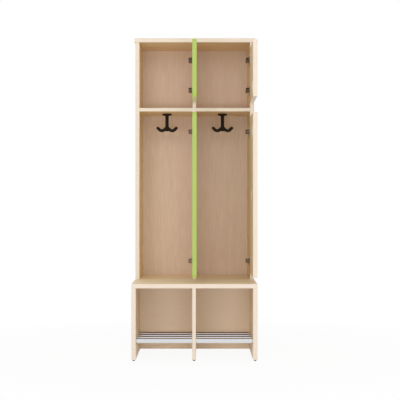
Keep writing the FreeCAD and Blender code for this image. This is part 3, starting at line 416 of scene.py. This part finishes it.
def smooth_skin_group():
    """A smooth skin: faint clouds in the colour, a fine orange peel and a few rubbed places."""
    group, given, result = new_group(
        "Smooth Skin",
        {"Vector": "NodeSocketVector", "Tint": "NodeSocketColor", "Peel": "NodeSocketFloat",
         "Gloss": "NodeSocketFloat"},
        {"Color": "NodeSocketColor", "Roughness": "NodeSocketFloat", "Height": "NodeSocketFloat"},
    )
    vector = given["Vector"]
    clouds = noise(group, vector, scale=9.0, detail=3.0)
    peel = noise(group, vector, scale=given["Peel"], detail=2.0)
    rubbed = noise(group, vector, scale=46.0, detail=4.0, roughness=0.65)
    cloud_share = remapped(group, clouds, low=0.3, high=0.7, new_low=0.95, new_high=1.0)
    shaded = mixed(group, cloud_share, BLACK, given["Tint"])
    peel_share = remapped(group, peel, low=0.45, high=0.8, new_low=0.0, new_high=0.01)
    feed(group, result["Color"], mixed(group, peel_share, shaded, WHITE))
    rub = remapped(group, rubbed, low=0.3, high=0.7, new_low=-0.05, new_high=0.07)
    feed(group, result["Roughness"], maths(group, "ADD", given["Gloss"], rub))
    feed(group, result["Height"], peel)
    return group


def worked_metal_group():
    """Plated metal: drawn lines, faint clouds and small handling marks."""
    group, given, result = new_group(
        "Worked Metal",
        {"Vector": "NodeSocketVector", "Tint": "NodeSocketColor", "Lines": "NodeSocketFloat",
         "Gloss": "NodeSocketFloat", "Wear": "NodeSocketFloat"},
        {"Color": "NodeSocketColor", "Roughness": "NodeSocketFloat", "Height": "NodeSocketFloat"},
    )
    vector = given["Vector"]
    lines = noise(group, vector, scale=given["Lines"], detail=3.0, roughness=0.6)
    clouds = noise(group, vector, scale=55.0, detail=2.0)
    knocks = noise(group, vector, scale=310.0, detail=3.0, roughness=0.7)
    spots = remapped(group, knocks, low=0.6, high=0.72, new_low=0.0, new_high=1.0)
    marks = maths(group, "MULTIPLY", spots, given["Wear"])
    cloud_share = remapped(group, clouds, low=0.3, high=0.7, new_low=0.9, new_high=1.0)
    shade = maths(group, "SUBTRACT", cloud_share, maths(group, "MULTIPLY", marks, MARK_DARKENING))
    feed(group, result["Color"], mixed(group, shade, BLACK, given["Tint"]))
    line_depth = maths(group, "MULTIPLY", given["Wear"], LINE_SPREAD)
    spread = maths(group, "MULTIPLY", maths(group, "SUBTRACT", lines, NOISE_MIDDLE), line_depth)
    dulled = maths(group, "ADD", spread, maths(group, "MULTIPLY", marks, MARK_DULLING))
    feed(group, result["Roughness"], maths(group, "ADD", given["Gloss"], dulled))
    feed(group, result["Height"], lines)
    return group


EFFECTS = {
    "Board Grain": board_grain_group,
    "Smooth Skin": smooth_skin_group,
    "Worked Metal": worked_metal_group,
}


def effect(name):
    """A shared effect, built the first time that it is asked for."""
    return bpy.data.node_groups.get(name) or EFFECTS[name]()


def blank_material(name):
    """A new material, its node tree and its shader."""
    material = bpy.data.materials.new(name)
    material.use_nodes = True
    return material, material.node_tree, material.node_tree.nodes["Principled BSDF"]


def object_place(tree):
    """Where a point lies on the object, as a vector."""
    return tree.nodes.new("ShaderNodeTexCoord").outputs["Object"]


def object_axes(tree):
    """Where a point lies along X, Y and Z."""
    return add_node(tree, "ShaderNodeSeparateXYZ", Vector=object_place(tree)).outputs


def add_effect(tree, shader, effect_name, vector, **values):
    """Place a shared effect in a material, and let it colour and roughen the surface."""
    pattern = tree.nodes.new("ShaderNodeGroup")
    pattern.node_tree = effect(effect_name)
    feed(tree, pattern.inputs["Vector"], vector)
    for label, value in values.items():
        feed(tree, pattern.inputs[label], value)
    feed(tree, shader.inputs["Base Color"], pattern.outputs["Color"])
    feed(tree, shader.inputs["Roughness"], pattern.outputs["Roughness"])
    return pattern


def new_material(name, effect_name, scale=(1, 1, 1), offset=(0, 0, 0), **values):
    """A material on object coordinates with one effect, and what a finish may still change in it."""
    material, tree, shader = blank_material(name)
    mapping = add_node(tree, "ShaderNodeMapping", Vector=object_place(tree), Scale=scale, Location=offset)
    pattern = add_effect(tree, shader, effect_name, mapping.outputs["Vector"], **values)
    return material, tree, shader, pattern


def roughen(tree, shader, height, strength, distance):
    """Raise a surface by a height pattern."""
    bump = add_node(tree, "ShaderNodeBump", Strength=strength, Distance=distance, Height=height)
    feed(tree, shader.inputs["Normal"], bump.outputs["Normal"])


def tone_over(tree, shader, share, below, tone):
    """Colour a surface with a plain tone as far as a mask says, over a pattern."""
    feed(tree, shader.inputs["Base Color"], mixed(tree, share, below, linear(tone)))


def maple_parts(name, pale, deep, along, place, contrast=1.0):
    """Faced maple with its grain along an axis, and what a finish may still change in it."""
    offset = (place * BOARD_STEP, place, place * BOARD_STEP)
    material, tree, shader, pattern = new_material(
        name, "Board Grain", scale=GRAIN_SCALES[along], offset=offset,
        Pale=linear(pale), Deep=linear(deep), Contrast=contrast,
    )
    roughen(tree, shader, pattern.outputs["Height"], *GRAIN_RELIEF)
    return material, tree, shader, pattern


def maple(name, pale, deep, along, place, contrast=1.0):
    """Faced maple board with its grain along an axis."""
    return maple_parts(name, pale, deep, along, place, contrast)[0]


def outer_maple(node, tones, along, place, axis, outward):
    """Faced maple board of the locker's shell: its inside face in the darker tone as painted shade, its
    outside face in the paler tone.
    """
    pale, deep = tones.shaded_maple_pale, tones.shaded_maple_deep
    material, tree, _, pattern = maple_parts(f"maple_{node}", pale, deep, along, place)
    low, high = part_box(node)
    middle = (low + high) / 2
    beyond = "GREATER_THAN" if outward else "LESS_THAN"
    outside = maths(tree, beyond, object_axes(tree)[axis], middle["XYZ".index(axis)])
    lit_and_shaded = {"Pale": (pale, tones.lit_maple_pale), "Deep": (deep, tones.lit_maple_deep)}
    for label, (inner, outer) in lit_and_shaded.items():
        feed(tree, pattern.inputs[label], mixed(tree, outside, linear(inner), linear(outer)))
    return material


def maple_band(name, tones, place, route):
    """Edge band with its grain along the route that it takes round its board."""
    material, tree, shader = blank_material(name)
    along, across = route(tree)
    drawn = maths(tree, "MULTIPLY", along, GRAIN_STRETCH)
    route_place = add_node(tree, "ShaderNodeCombineXYZ", X=drawn, Y=across, Z=place * BOARD_STEP)
    pattern = add_effect(
        tree, shader, "Board Grain", route_place.outputs["Vector"],
        Pale=linear(tones.edge_pale), Deep=linear(tones.edge_deep), Contrast=BAND_CONTRAST,
    )
    roughen(tree, shader, pattern.outputs["Height"], *GRAIN_RELIEF)
    return material


def upright_route(tree):
    """Up the front of a panel."""
    axes = object_axes(tree)
    return axes["Z"], axes["X"]


def level_route(tree):
    """Round the sides and the front of a level board."""
    axes = object_axes(tree)
    return maths(tree, "ADD", axes["X"], axes["Y"]), axes["Z"]


def door_route(tree):
    """Round an open door."""
    axes = object_axes(tree)
    return maths(tree, "ADD", axes["Y"], axes["Z"]), axes["X"]


def locker_route(tree):
    """Up the front of the locker's panels, and level along the shelf."""
    axes = object_axes(tree)
    low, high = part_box("shelf")
    in_width = between(tree, axes["X"], low.x, high.x)
    in_height = between(tree, axes["Z"], low.z, high.z)
    on_shelf = maths(tree, "MULTIPLY", in_width, in_height)
    along = chosen(tree, on_shelf, axes["Z"], axes["X"])
    return along, chosen(tree, on_shelf, axes["X"], axes["Z"])


def shadowed_maple(node, tones, sizes, place):
    """Faced maple of a level board, with a dark sheet painted on its underside: painted shade under the
    bench, which the rack's tubes mirror.
    """
    pale, deep = tones.lit_maple_pale, tones.lit_maple_deep
    material, tree, shader, pattern = maple_parts(f"maple_{node}", pale, deep, "X", place)
    # Painted shade: the underside takes a dark tone up to this height
    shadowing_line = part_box(node)[0].z + sizes.shadowing
    under = maths(tree, "LESS_THAN", object_axes(tree)["Z"], shadowing_line)
    tone_over(tree, shader, under, pattern.outputs["Color"], tones.shadowing)
    return material


def door_holes(door):
    """The round holes of a door: their places along Y and Z, and their radii."""
    low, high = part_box(f"door_band_{door}")
    finger_y = low.y + FINGER_INSET
    if door.startswith("upper"):
        return [(finger_y, low.z + UPPER_FINGER_RISE, FINGER_RADIUS)]
    middle = (low + high) / 2
    finger = (finger_y, high.z - LOWER_FINGER_DROP, FINGER_RADIUS)
    return [finger, (middle.y, middle.z, VENT_RADIUS)]


def bored_maple(door, tones, sizes, place):
    """Faced maple of a door, with paler walls in its round holes."""
    # The door takes the paler maple tone: painted light on its inner face
    pale, deep = tones.lit_maple_pale, tones.lit_maple_deep
    material, tree, shader, pattern = maple_parts(f"maple_door_{door}", pale, deep, "Z", place)
    axes = object_axes(tree)
    on_face = add_node(tree, "ShaderNodeCombineXYZ", Y=axes["Y"], Z=axes["Z"]).outputs["Vector"]
    walls = 0.0
    for y, z, radius in door_holes(door):
        away = add_node(tree, "ShaderNodeVectorMath", {"operation": "DISTANCE"})
        feed(tree, away.inputs[0], on_face)
        feed(tree, away.inputs[1], (0, y, z))
        rim = radius + sizes.hole_round
        wall = remapped(tree, away.outputs["Value"], radius, rim, new_low=1.0, new_high=0.0)
        walls = maths(tree, "MAXIMUM", walls, wall)
    tone_over(tree, shader, walls, pattern.outputs["Color"], tones.edge_pale)
    return material


def lime(name, tint):
    """Plain green facing with a fine orange peel, and what a finish may still change in it."""
    material, tree, shader, pattern = new_material(
        name, "Smooth Skin", Tint=linear(tint), Peel=1400.0, Gloss=0.42,
    )
    roughen(tree, shader, pattern.outputs["Height"], *FACING_RELIEF)
    return material, tree, shader, pattern


def lime_band(door, tones, sizes):
    """Green edge band that is deeper near the ends of its door, and paler underneath as painted light from
    below.
    """
    material, tree, shader, pattern = lime(f"lime_edge_{door}", tones.lime_edge)
    low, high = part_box(f"door_band_{door}")
    height = object_axes(tree)["Z"]
    foot_line = low.z + sizes.foot_deepening
    head_line = high.z - sizes.head_deepening
    foot_end = foot_line + sizes.band_fade
    head_start = head_line - sizes.band_fade
    foot = remapped(tree, height, foot_line, foot_end, new_low=1.0, new_high=0.0)
    head = remapped(tree, height, head_start, head_line, new_low=0.0, new_high=1.0)
    ends = maths(tree, "MAXIMUM", foot, head)
    band = mixed(tree, ends, pattern.outputs["Color"], linear(tones.lime_band_ends))
    # Painted light: the band's underside is paler, as if lit from below
    underlight_middle, underlight_top = low.z + sizes.underlight_depth / 2, low.z + sizes.underlight_depth
    under = remapped(tree, height, underlight_middle, underlight_top, new_low=1.0, new_high=0.0)
    tone_over(tree, shader, under, band, tones.lime_underlight)
    return material


def plated(name, tint, lines, gloss, stretch=(1, 1, 1), relief=0.08, wear=1.0, metal=1.0):
    """Plated metal with fine drawn lines."""
    material, tree, shader, pattern = new_material(
        name, "Worked Metal", scale=stretch, Tint=linear(tint), Lines=lines, Gloss=gloss, Wear=wear,
    )
    shader.inputs["Metallic"].default_value = metal
    roughen(tree, shader, pattern.outputs["Height"], relief, PLATING_DEPTH)
    return material


def dress(nodes, material):
    """Give CAD nodes or new pieces one finish."""
    for each in nodes:
        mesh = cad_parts[each].data if isinstance(each, str) else each.data
        mesh.materials.clear()
        mesh.materials.append(material)


# Mesh helpers
def new_piece(name, bm, body, replaced):
    """A finished mesh as a piece that rides on a body and stands for CAD nodes."""
    mesh = bpy.data.meshes.new(name)
    bm.to_mesh(mesh)
    bm.free()
    piece = bpy.data.objects.new(name, mesh)
    bpy.context.scene.collection.objects.link(piece)
    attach(piece, body)
    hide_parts(replaced)
    return piece


def shade_by_angle(piece, degrees):
    """Smooth shading, with creases where faces meet at more than an angle."""
    piece.data.shade_smooth()
    piece.data.set_sharp_from_angle(angle=math.radians(degrees))


def turned_profile(bm, profile, centre, steps):
    """A shape turned about an upright axis from pairs of radius and height."""
    points = [bm.verts.new(centre + Vector((radius, 0, height))) for radius, height in profile]
    edges = [bm.edges.new(pair) for pair in zip(points, points[1:])]
    bmesh.ops.spin(
        bm, geom=points + edges, cent=centre, axis=(0, 0, 1), angle=FULL_TURN, steps=steps, use_merge=True,
    )


def close_shape(bm, distance):
    """Merge doubled points and turn the faces outwards."""
    bmesh.ops.remove_doubles(bm, verts=bm.verts, dist=distance)
    bmesh.ops.recalc_face_normals(bm, faces=bm.faces)


# Coat hooks
def hook_stem(bm, sizes, top):
    """The round plate, the stem and the boss of a hook, turned about its axis."""
    thickness = sizes.plate_thickness
    boss = sizes.boss_rise + sizes.boss_radius - hook_drop()
    profile = [
        (0, 0),
        (sizes.plate_radius, 0),
        (sizes.plate_radius, sizes.plate_round - thickness),
        (sizes.plate_radius - sizes.plate_round, -thickness),
        (sizes.stem_radius + sizes.neck_fillet, -thickness),
        (sizes.stem_radius, -thickness - sizes.neck_fillet),
        (sizes.stem_radius, boss + sizes.boss_radius),
        (sizes.boss_radius, boss),
        (sizes.boss_radius * SLOPE, boss - sizes.boss_radius * SLOPE),
        (0, boss - sizes.boss_radius),
    ]
    turned_profile(bm, profile, top, STEM_STEPS)


def hook_drop():
    """Height of a hook from its foot to the shelf."""
    low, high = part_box("coat_hook_left")
    return high.z - low.z


def hook_arm(bm, sizes, top, hand):
    """One arm: down and out from the boss, round the bend and up to its tip."""
    bend_height = sizes.arm_radius + sizes.bend_radius - hook_drop()
    bend = top + Vector((hand * sizes.bend_offset, 0, bend_height))
    down = Vector((hand * SLOPE, 0, -SLOPE))
    up = Vector((hand * SLOPE, 0, SLOPE))
    start = bend - up * sizes.bend_radius
    root = start - down * (sizes.bend_offset / SLOPE - sizes.bend_radius)
    facing = Vector((0, 0, 1)).rotation_difference(down).to_matrix().to_4x4()
    ring = bmesh.ops.create_circle(
        bm, cap_ends=True, radius=sizes.arm_radius, segments=ARM_STEPS,
        matrix=Matrix.Translation(root) @ facing,
    )
    face = next(iter(ring["verts"][0].link_faces))
    face = pulled(bm, face, start - root)
    swept = bmesh.ops.spin(
        bm, geom=[face], cent=bend, axis=(0, 1, 0), angle=-hand * RIGHT_ANGLE, steps=BEND_STEPS,
        use_merge=False,
    )
    face = next(part for part in swept["geom_last"] if isinstance(part, bmesh.types.BMFace))
    reach = (sizes.tip_offset - sizes.bend_offset) / SLOPE - sizes.bend_radius
    face = pulled(bm, face, up * reach)
    bmesh.ops.create_uvsphere(
        bm, u_segments=ARM_STEPS, v_segments=TIP_RINGS, radius=sizes.arm_radius,
        matrix=Matrix.Translation(face.calc_center_median()),
    )


def pulled(bm, face, step):
    """Extrude a face by a step, and return the new face."""
    made = bmesh.ops.extrude_face_region(bm, geom=[face])["geom"]
    points = [part for part in made if isinstance(part, bmesh.types.BMVert)]
    bmesh.ops.translate(bm, verts=points, vec=step)
    return next(part for part in made if isinstance(part, bmesh.types.BMFace))


def cast_hook(hand):
    """A hook as one casting with soft joints, in place of its CAD node."""
    sizes = bpy.context.scene.locker_hooks
    node = f"coat_hook_{hand}"
    low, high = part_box(node)
    top = Vector(((low.x + high.x) / 2, (low.y + high.y) / 2, high.z))
    bm = bmesh.new()
    hook_stem(bm, sizes, top)
    close_shape(bm, sizes.grain / CELL_PARTS)
    for sign in (-1, 1):
        hook_arm(bm, sizes, top, sign)
    bmesh.ops.recalc_face_normals(bm, faces=bm.faces)
    piece = new_piece(f"cast_hook_{hand}", bm, CARCASS, node)
    remesh = piece.modifiers.new("Casting", "REMESH")
    remesh.mode = "VOXEL"
    remesh.voxel_size = sizes.grain
    soften = piece.modifiers.new("Soft joints", "SMOOTH")
    soften.factor = SOFT_SHARE
    soften.iterations = SOFT_ROUNDS
    finished = piece.evaluated_get(bpy.context.evaluated_depsgraph_get())
    settled = bpy.data.meshes.new_from_object(finished)
    piece.modifiers.clear()
    piece.data = settled
    piece.data.name = piece.name
    piece.data.shade_smooth()
    return piece


# Hinges
def softened(node, name, body, edge):
    """A copy of a CAD node with its sharp sheet edges softened, in place of the node."""
    bm = bmesh.new()
    bm.from_mesh(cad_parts[node].data)
    bmesh.ops.remove_doubles(bm, verts=bm.verts, dist=MERGE_DISTANCE)
    flat, limit = math.radians(FLAT_ANGLE), math.radians(SHARP_ANGLE)
    bmesh.ops.dissolve_limit(bm, angle_limit=flat, verts=bm.verts, edges=bm.edges)
    sharp = [part for part in bm.edges if part.is_manifold and part.calc_face_angle() > limit]
    bmesh.ops.bevel(
        bm, geom=sharp, offset=edge, offset_type="OFFSET", affect="EDGES", segments=2, profile=0.5,
        material=-1, clamp_overlap=True,
    )
    piece = new_piece(name, bm, body, node)
    shade_by_angle(piece, SHEET_CREASE)
    return piece


# Glides
def turned_glides():
    """The glides as turned feet with a rim, a waist and a rounded sole, in place of their CAD node."""
    sizes = bpy.context.scene.locker_fittings
    low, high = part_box("floor_glides")
    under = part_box("base_side_left")[0].z
    bm = bmesh.new()
    for x, y in glide_places(low, high):
        profile = [
            (0, under),
            (RIM_RADIUS, under),
            (RIM_RADIUS, under - sizes.glide_rim),
            (SOLE_RADIUS + sizes.glide_waist, under / 2),
            (SOLE_RADIUS, sizes.glide_round),
            (SOLE_RADIUS - sizes.glide_round, 0),
            (0, 0),
        ]
        turned_profile(bm, profile, Vector((x, y, 0)), GLIDE_STEPS)
    close_shape(bm, MERGE_DISTANCE)
    piece = new_piece("turned_glides", bm, CARCASS, "floor_glides")
    shade_by_angle(piece, GLIDE_CREASE)
    return piece


def glide_places(low, high):
    """Where the glides stand: near the corners of the sides, and under the divider."""
    divider_low, divider_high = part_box("base_divider")
    left, right = low.x + RIM_RADIUS, high.x - RIM_RADIUS
    front, rear = low.y + RIM_RADIUS, high.y - RIM_RADIUS
    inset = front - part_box("base_side_left")[0].y
    corners = [(x, y) for x in (left, right) for y in (front, rear)]
    middle = (divider_low.x + divider_high.x) / 2
    return corners + [(middle, front), (middle, divider_high.y - inset)]


# Routes of the edge bands
BAND_ROUTES = {
    "edge_bands_base": upright_route,
    "edge_bands_locker": locker_route,
    "edge_bands_bench": level_route,
    "edge_bands_top": level_route,
}


class LockerBoards(bpy.types.Operator):
    """Finish the boards, the back panel, the edge bands and the dowels"""

    bl_idname = "locker.boards"
    bl_label = "Boards"

    def execute(self, context):
        tones = context.scene.locker_colours
        sizes = context.scene.locker_fittings
        # The inner boards take the darker maple tone: painted shade inside the locker
        pale, deep = tones.shaded_maple_pale, tones.shaded_maple_deep
        for place, (node, grain) in enumerate(INNER_BOARDS.items()):
            dress([node], maple(f"maple_{node}", pale, deep, grain, place))
        shell = enumerate(OUTER_BOARDS.items(), start=len(INNER_BOARDS))
        for place, (node, (grain, axis, outward)) in shell:
            dress([node], outer_maple(node, tones, grain, place, axis, outward))
        # The base boards take the paler maple tone: painted light on the shoe bay's sides
        for place, node in enumerate(BASE_BOARDS, start=BASE_PLACE):
            dress([node], maple(f"maple_{node}", tones.lit_maple_pale, tones.lit_maple_deep, "Z", place))
        dress(["bench_top"], shadowed_maple("bench_top", tones, sizes, BENCH_PLACE))
        # The panel behind the shoes in its paler tones: painted light in the shoe bay
        lit_closing = maple(
            "maple_closing", tones.lit_closing_pale, tones.lit_closing_deep, "X", CLOSING_PLACE, CLOSING_CONTRAST,
        )
        dress(["base_closing_panel"], lit_closing)
        back = maple("maple_back", tones.back_pale, tones.back_deep, "Z", BACK_PLACE, BACK_CONTRAST)
        dress(["back_panel"], back)
        for place, (node, route) in enumerate(BAND_ROUTES.items(), start=BAND_PLACE):
            dress([node], maple_band(f"maple_{node}", tones, place, route))
        dress(DOWELS, maple("beech_dowel", tones.dowel, deep, "Z", DOWEL_PLACE))
        return {"FINISHED"}


class LockerDoors(bpy.types.Operator):
    """Finish the two green doors and the two maple doors"""

    bl_idname = "locker.doors"
    bl_label = "Doors"

    def execute(self, context):
        tones = context.scene.locker_colours
        sizes = context.scene.locker_fittings
        lime_face = lime("lime_face", tones.lime_face)[0]
        edge = maple_band("maple_door_edge", tones, DOOR_EDGE_PLACE, door_route)
        for place, door in enumerate(DOORS, start=DOOR_PLACE):
            if door in LIME_DOORS:
                dress([f"door_{door}"], lime_face)
                dress([f"door_band_{door}"], lime_band(door, tones, sizes))
            else:
                dress([f"door_{door}"], bored_maple(door, tones, sizes, place))
                dress([f"door_band_{door}"], edge)
        return {"FINISHED"}


class LockerHinges(bpy.types.Operator):
    """Soften the hinges' sheet edges and finish the hinges and screws"""

    bl_idname = "locker.hinges"
    bl_label = "Hinges and screws"

    def execute(self, context):
        tones = context.scene.locker_colours
        edge = context.scene.locker_fittings.sheet_edge
        # Cups in warm nickel, partly a painted reflection of the maple; plates and arms in darker copies of
        # the nickel, painted shade
        nickel = plated("hinge_nickel", tones.nickel, HINGE_LINES, gloss=0.42, wear=0.35, metal=0.4)
        shaded_nickel = plated("hinge_bronze", tones.shaded_nickel, HINGE_LINES, gloss=0.34, wear=0.35)
        shaded_plate = plated("hinge_dull", tones.plate, HINGE_LINES, gloss=0.42, wear=0.35, metal=0.4)
        for door in DOORS:
            arms = softened(f"hinge_arms_{door}", f"formed_arms_{door}", CARCASS, edge)
            plates = softened(f"hinge_plates_{door}", f"formed_plates_{door}", CARCASS, edge)
            cups = softened(f"hinge_cups_{door}", f"formed_cups_{door}", f"{door}_door", edge)
            dress([arms], shaded_nickel)
            dress([plates], shaded_plate)
            dress([cups], nickel)
        zinc = plated("screw_zinc", tones.zinc, SCREW_LINES, gloss=0.28, metal=0.6)
        dress(SCREWS, zinc)
        dress([f"cup_screws_{door}" for door in DOORS], zinc)
        return {"FINISHED"}


class LockerHooks(bpy.types.Operator):
    """Cast the two double coat hooks"""

    bl_idname = "locker.hooks"
    bl_label = "Coat hooks"

    def execute(self, context):
        tones = context.scene.locker_colours
        material, tree, shader, pattern = new_material(
            "hook_black", "Smooth Skin", Tint=linear(tones.hook), Peel=900.0, Gloss=0.55,
        )
        shader.inputs["Specular IOR Level"].default_value = 0.2
        roughen(tree, shader, pattern.outputs["Height"], *CASTING_RELIEF)
        dress([cast_hook("left"), cast_hook("right")], material)
        return {"FINISHED"}


class LockerRack(bpy.types.Operator):
    """Finish the shoe rack's tubes"""

    bl_idname = "locker.rack"
    bl_label = "Shoe rack"

    def execute(self, context):
        tones = context.scene.locker_colours
        chrome = plated(
            "rack_chrome", tones.chrome, TUBE_LINES, gloss=0.15, stretch=TUBE_STRETCH, relief=0.01, wear=0.15,
        )
        dress(RACK_TUBES, chrome)
        return {"FINISHED"}


class LockerGlides(bpy.types.Operator):
    """Turn the glides under the base"""

    bl_idname = "locker.glides"
    bl_label = "Glides"

    def execute(self, context):
        tones = context.scene.locker_colours
        material, tree, shader, pattern = new_material(
            "glide_grey", "Smooth Skin", Tint=linear(tones.glide), Peel=700.0, Gloss=0.5,
        )
        roughen(tree, shader, pattern.outputs["Height"], *FACING_RELIEF)
        dress([turned_glides()], material)
        return {"FINISHED"}


# Stage
def seen_directly(tree):
    """One where a ray comes from the camera, a reflection or glass, and nothing elsewhere."""
    path = tree.nodes.new("ShaderNodeLightPath")
    mirrored = maths(tree, "MAXIMUM", path.outputs["Is Glossy Ray"], path.outputs["Is Transmission Ray"])
    return maths(tree, "MAXIMUM", path.outputs["Is Camera Ray"], mirrored)


def show_either(tree, share, first, second, output_kind):
    """Let a surface show one shader or the other, by a share."""
    either = tree.nodes.new("ShaderNodeMixShader")
    feed(tree, either.inputs[0], share)
    feed(tree, either.inputs[1], first.outputs[0])
    feed(tree, either.inputs[2], second.outputs[0])
    output = tree.nodes.new(output_kind)
    feed(tree, output.inputs["Surface"], either.outputs[0])


def white_surroundings(stage):
    """A white world that lights the object softly from all sides."""
    world = bpy.data.worlds.new("White surroundings")
    bpy.context.scene.world = world
    world.use_nodes = True
    tree = world.node_tree
    tree.nodes.clear()
    fill = add_node(tree, "ShaderNodeBackground", Color=WHITE, Strength=stage.sky_fill)
    shown = add_node(tree, "ShaderNodeBackground", Color=WHITE, Strength=1.0)
    show_either(tree, seen_directly(tree), fill, shown, "ShaderNodeOutputWorld")


def pale_floor(stage):
    """A pale floor that keeps the object's shadow."""
    bm = bmesh.new()
    bmesh.ops.create_grid(bm, x_segments=1, y_segments=1, size=stage.floor_size / 2)
    mesh = bpy.data.meshes.new("floor")
    bm.to_mesh(mesh)
    bm.free()
    floor = bpy.data.objects.new("floor", mesh)
    bpy.context.scene.collection.objects.link(floor)
    material = bpy.data.materials.new("floor_white")
    material.use_nodes = True
    tree = material.node_tree
    tree.nodes.clear()
    paint = add_node(tree, "ShaderNodeBsdfDiffuse", Color=linear(stage.floor_colour))
    white = add_node(tree, "ShaderNodeEmission", Color=WHITE, Strength=1.0)
    away = add_node(tree, "ShaderNodeVectorMath", {"operation": "LENGTH"}, Vector=object_place(tree))
    fade = stage.floor_fade
    share = remapped(tree, away.outputs["Value"], fade / 2, fade, stage.floor_white, new_high=1.0)
    white_share = maths(tree, "MULTIPLY", seen_directly(tree), share)
    show_either(tree, white_share, paint, white, "ShaderNodeOutputMaterial")
    mesh.materials.append(material)


def soft_light(name, place, aim, width, height, energy):
    """A large soft lamp that points at a place."""
    lamp = bpy.data.lights.new(name, "AREA")
    lamp.shape = "RECTANGLE"
    lamp.size = width
    lamp.size_y = height
    lamp.energy = energy
    made = bpy.data.objects.new(name, lamp)
    made.location = place
    made.visible_glossy = False
    made.rotation_euler = (Vector(aim) - Vector(place)).to_track_quat("-Z", "Y").to_euler()
    bpy.context.scene.collection.objects.link(made)


class LockerStageSet(bpy.types.Operator):
    """Set the floor, the light and the camera"""

    bl_idname = "locker.stage_set"
    bl_label = "Stage"

    def execute(self, context):
        stage = context.scene.locker_stage
        pale_floor(stage)
        white_surroundings(stage)
        middle = (CAD_LOW + CAD_HIGH) / 2
        for name, (setting, place, width, height) in LAMPS.items():
            soft_light(name, place, middle, width, height, getattr(stage, setting))
        lens = bpy.data.cameras.new("camera")
        lens.lens = stage.lens
        camera = bpy.data.objects.new("camera", lens)
        camera.location = stage.camera_place
        camera.rotation_euler = (RIGHT_ANGLE, 0, 0)
        context.scene.collection.objects.link(camera)
        context.scene.camera = camera
        context.scene.view_settings.view_transform = "Standard"
        return {"FINISHED"}


class LockerPanel(bpy.types.Panel):
    """Lists the steps that dress the locker"""

    bl_idname = "VIEW3D_PT_locker"
    bl_label = "Locker"
    bl_space_type = "VIEW_3D"
    bl_region_type = "UI"
    bl_category = "Locker"

    def draw(self, context):
        for step in STEPS:
            self.layout.operator(step.bl_idname)


SETTINGS = {
    "locker_colours": LockerColours,
    "locker_hooks": LockerHookSizes,
    "locker_fittings": LockerFittingSizes,
    "locker_stage": LockerStage,
}
STEPS = (LockerBoards, LockerDoors, LockerHinges, LockerHooks, LockerRack, LockerGlides, LockerStageSet)
CLASSES = (*SETTINGS.values(), *STEPS, LockerPanel)


def register():
    """Register the classes, and keep the settings on the scene."""
    for each in CLASSES:
        bpy.utils.register_class(each)
    for name, kind in SETTINGS.items():
        setattr(bpy.types.Scene, name, PointerProperty(type=kind))


def unregister():
    """Undo register."""
    for name in SETTINGS:
        delattr(bpy.types.Scene, name)
    for each in reversed(CLASSES):
        bpy.utils.unregister_class(each)


def main():
    """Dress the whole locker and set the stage."""
    register()
    bpy.ops.locker.boards()
    bpy.ops.locker.doors()
    bpy.ops.locker.hinges()
    bpy.ops.locker.hooks()
    bpy.ops.locker.rack()
    bpy.ops.locker.glides()
    bpy.ops.locker.stage_set()


if __name__ == "__main__":
    main()
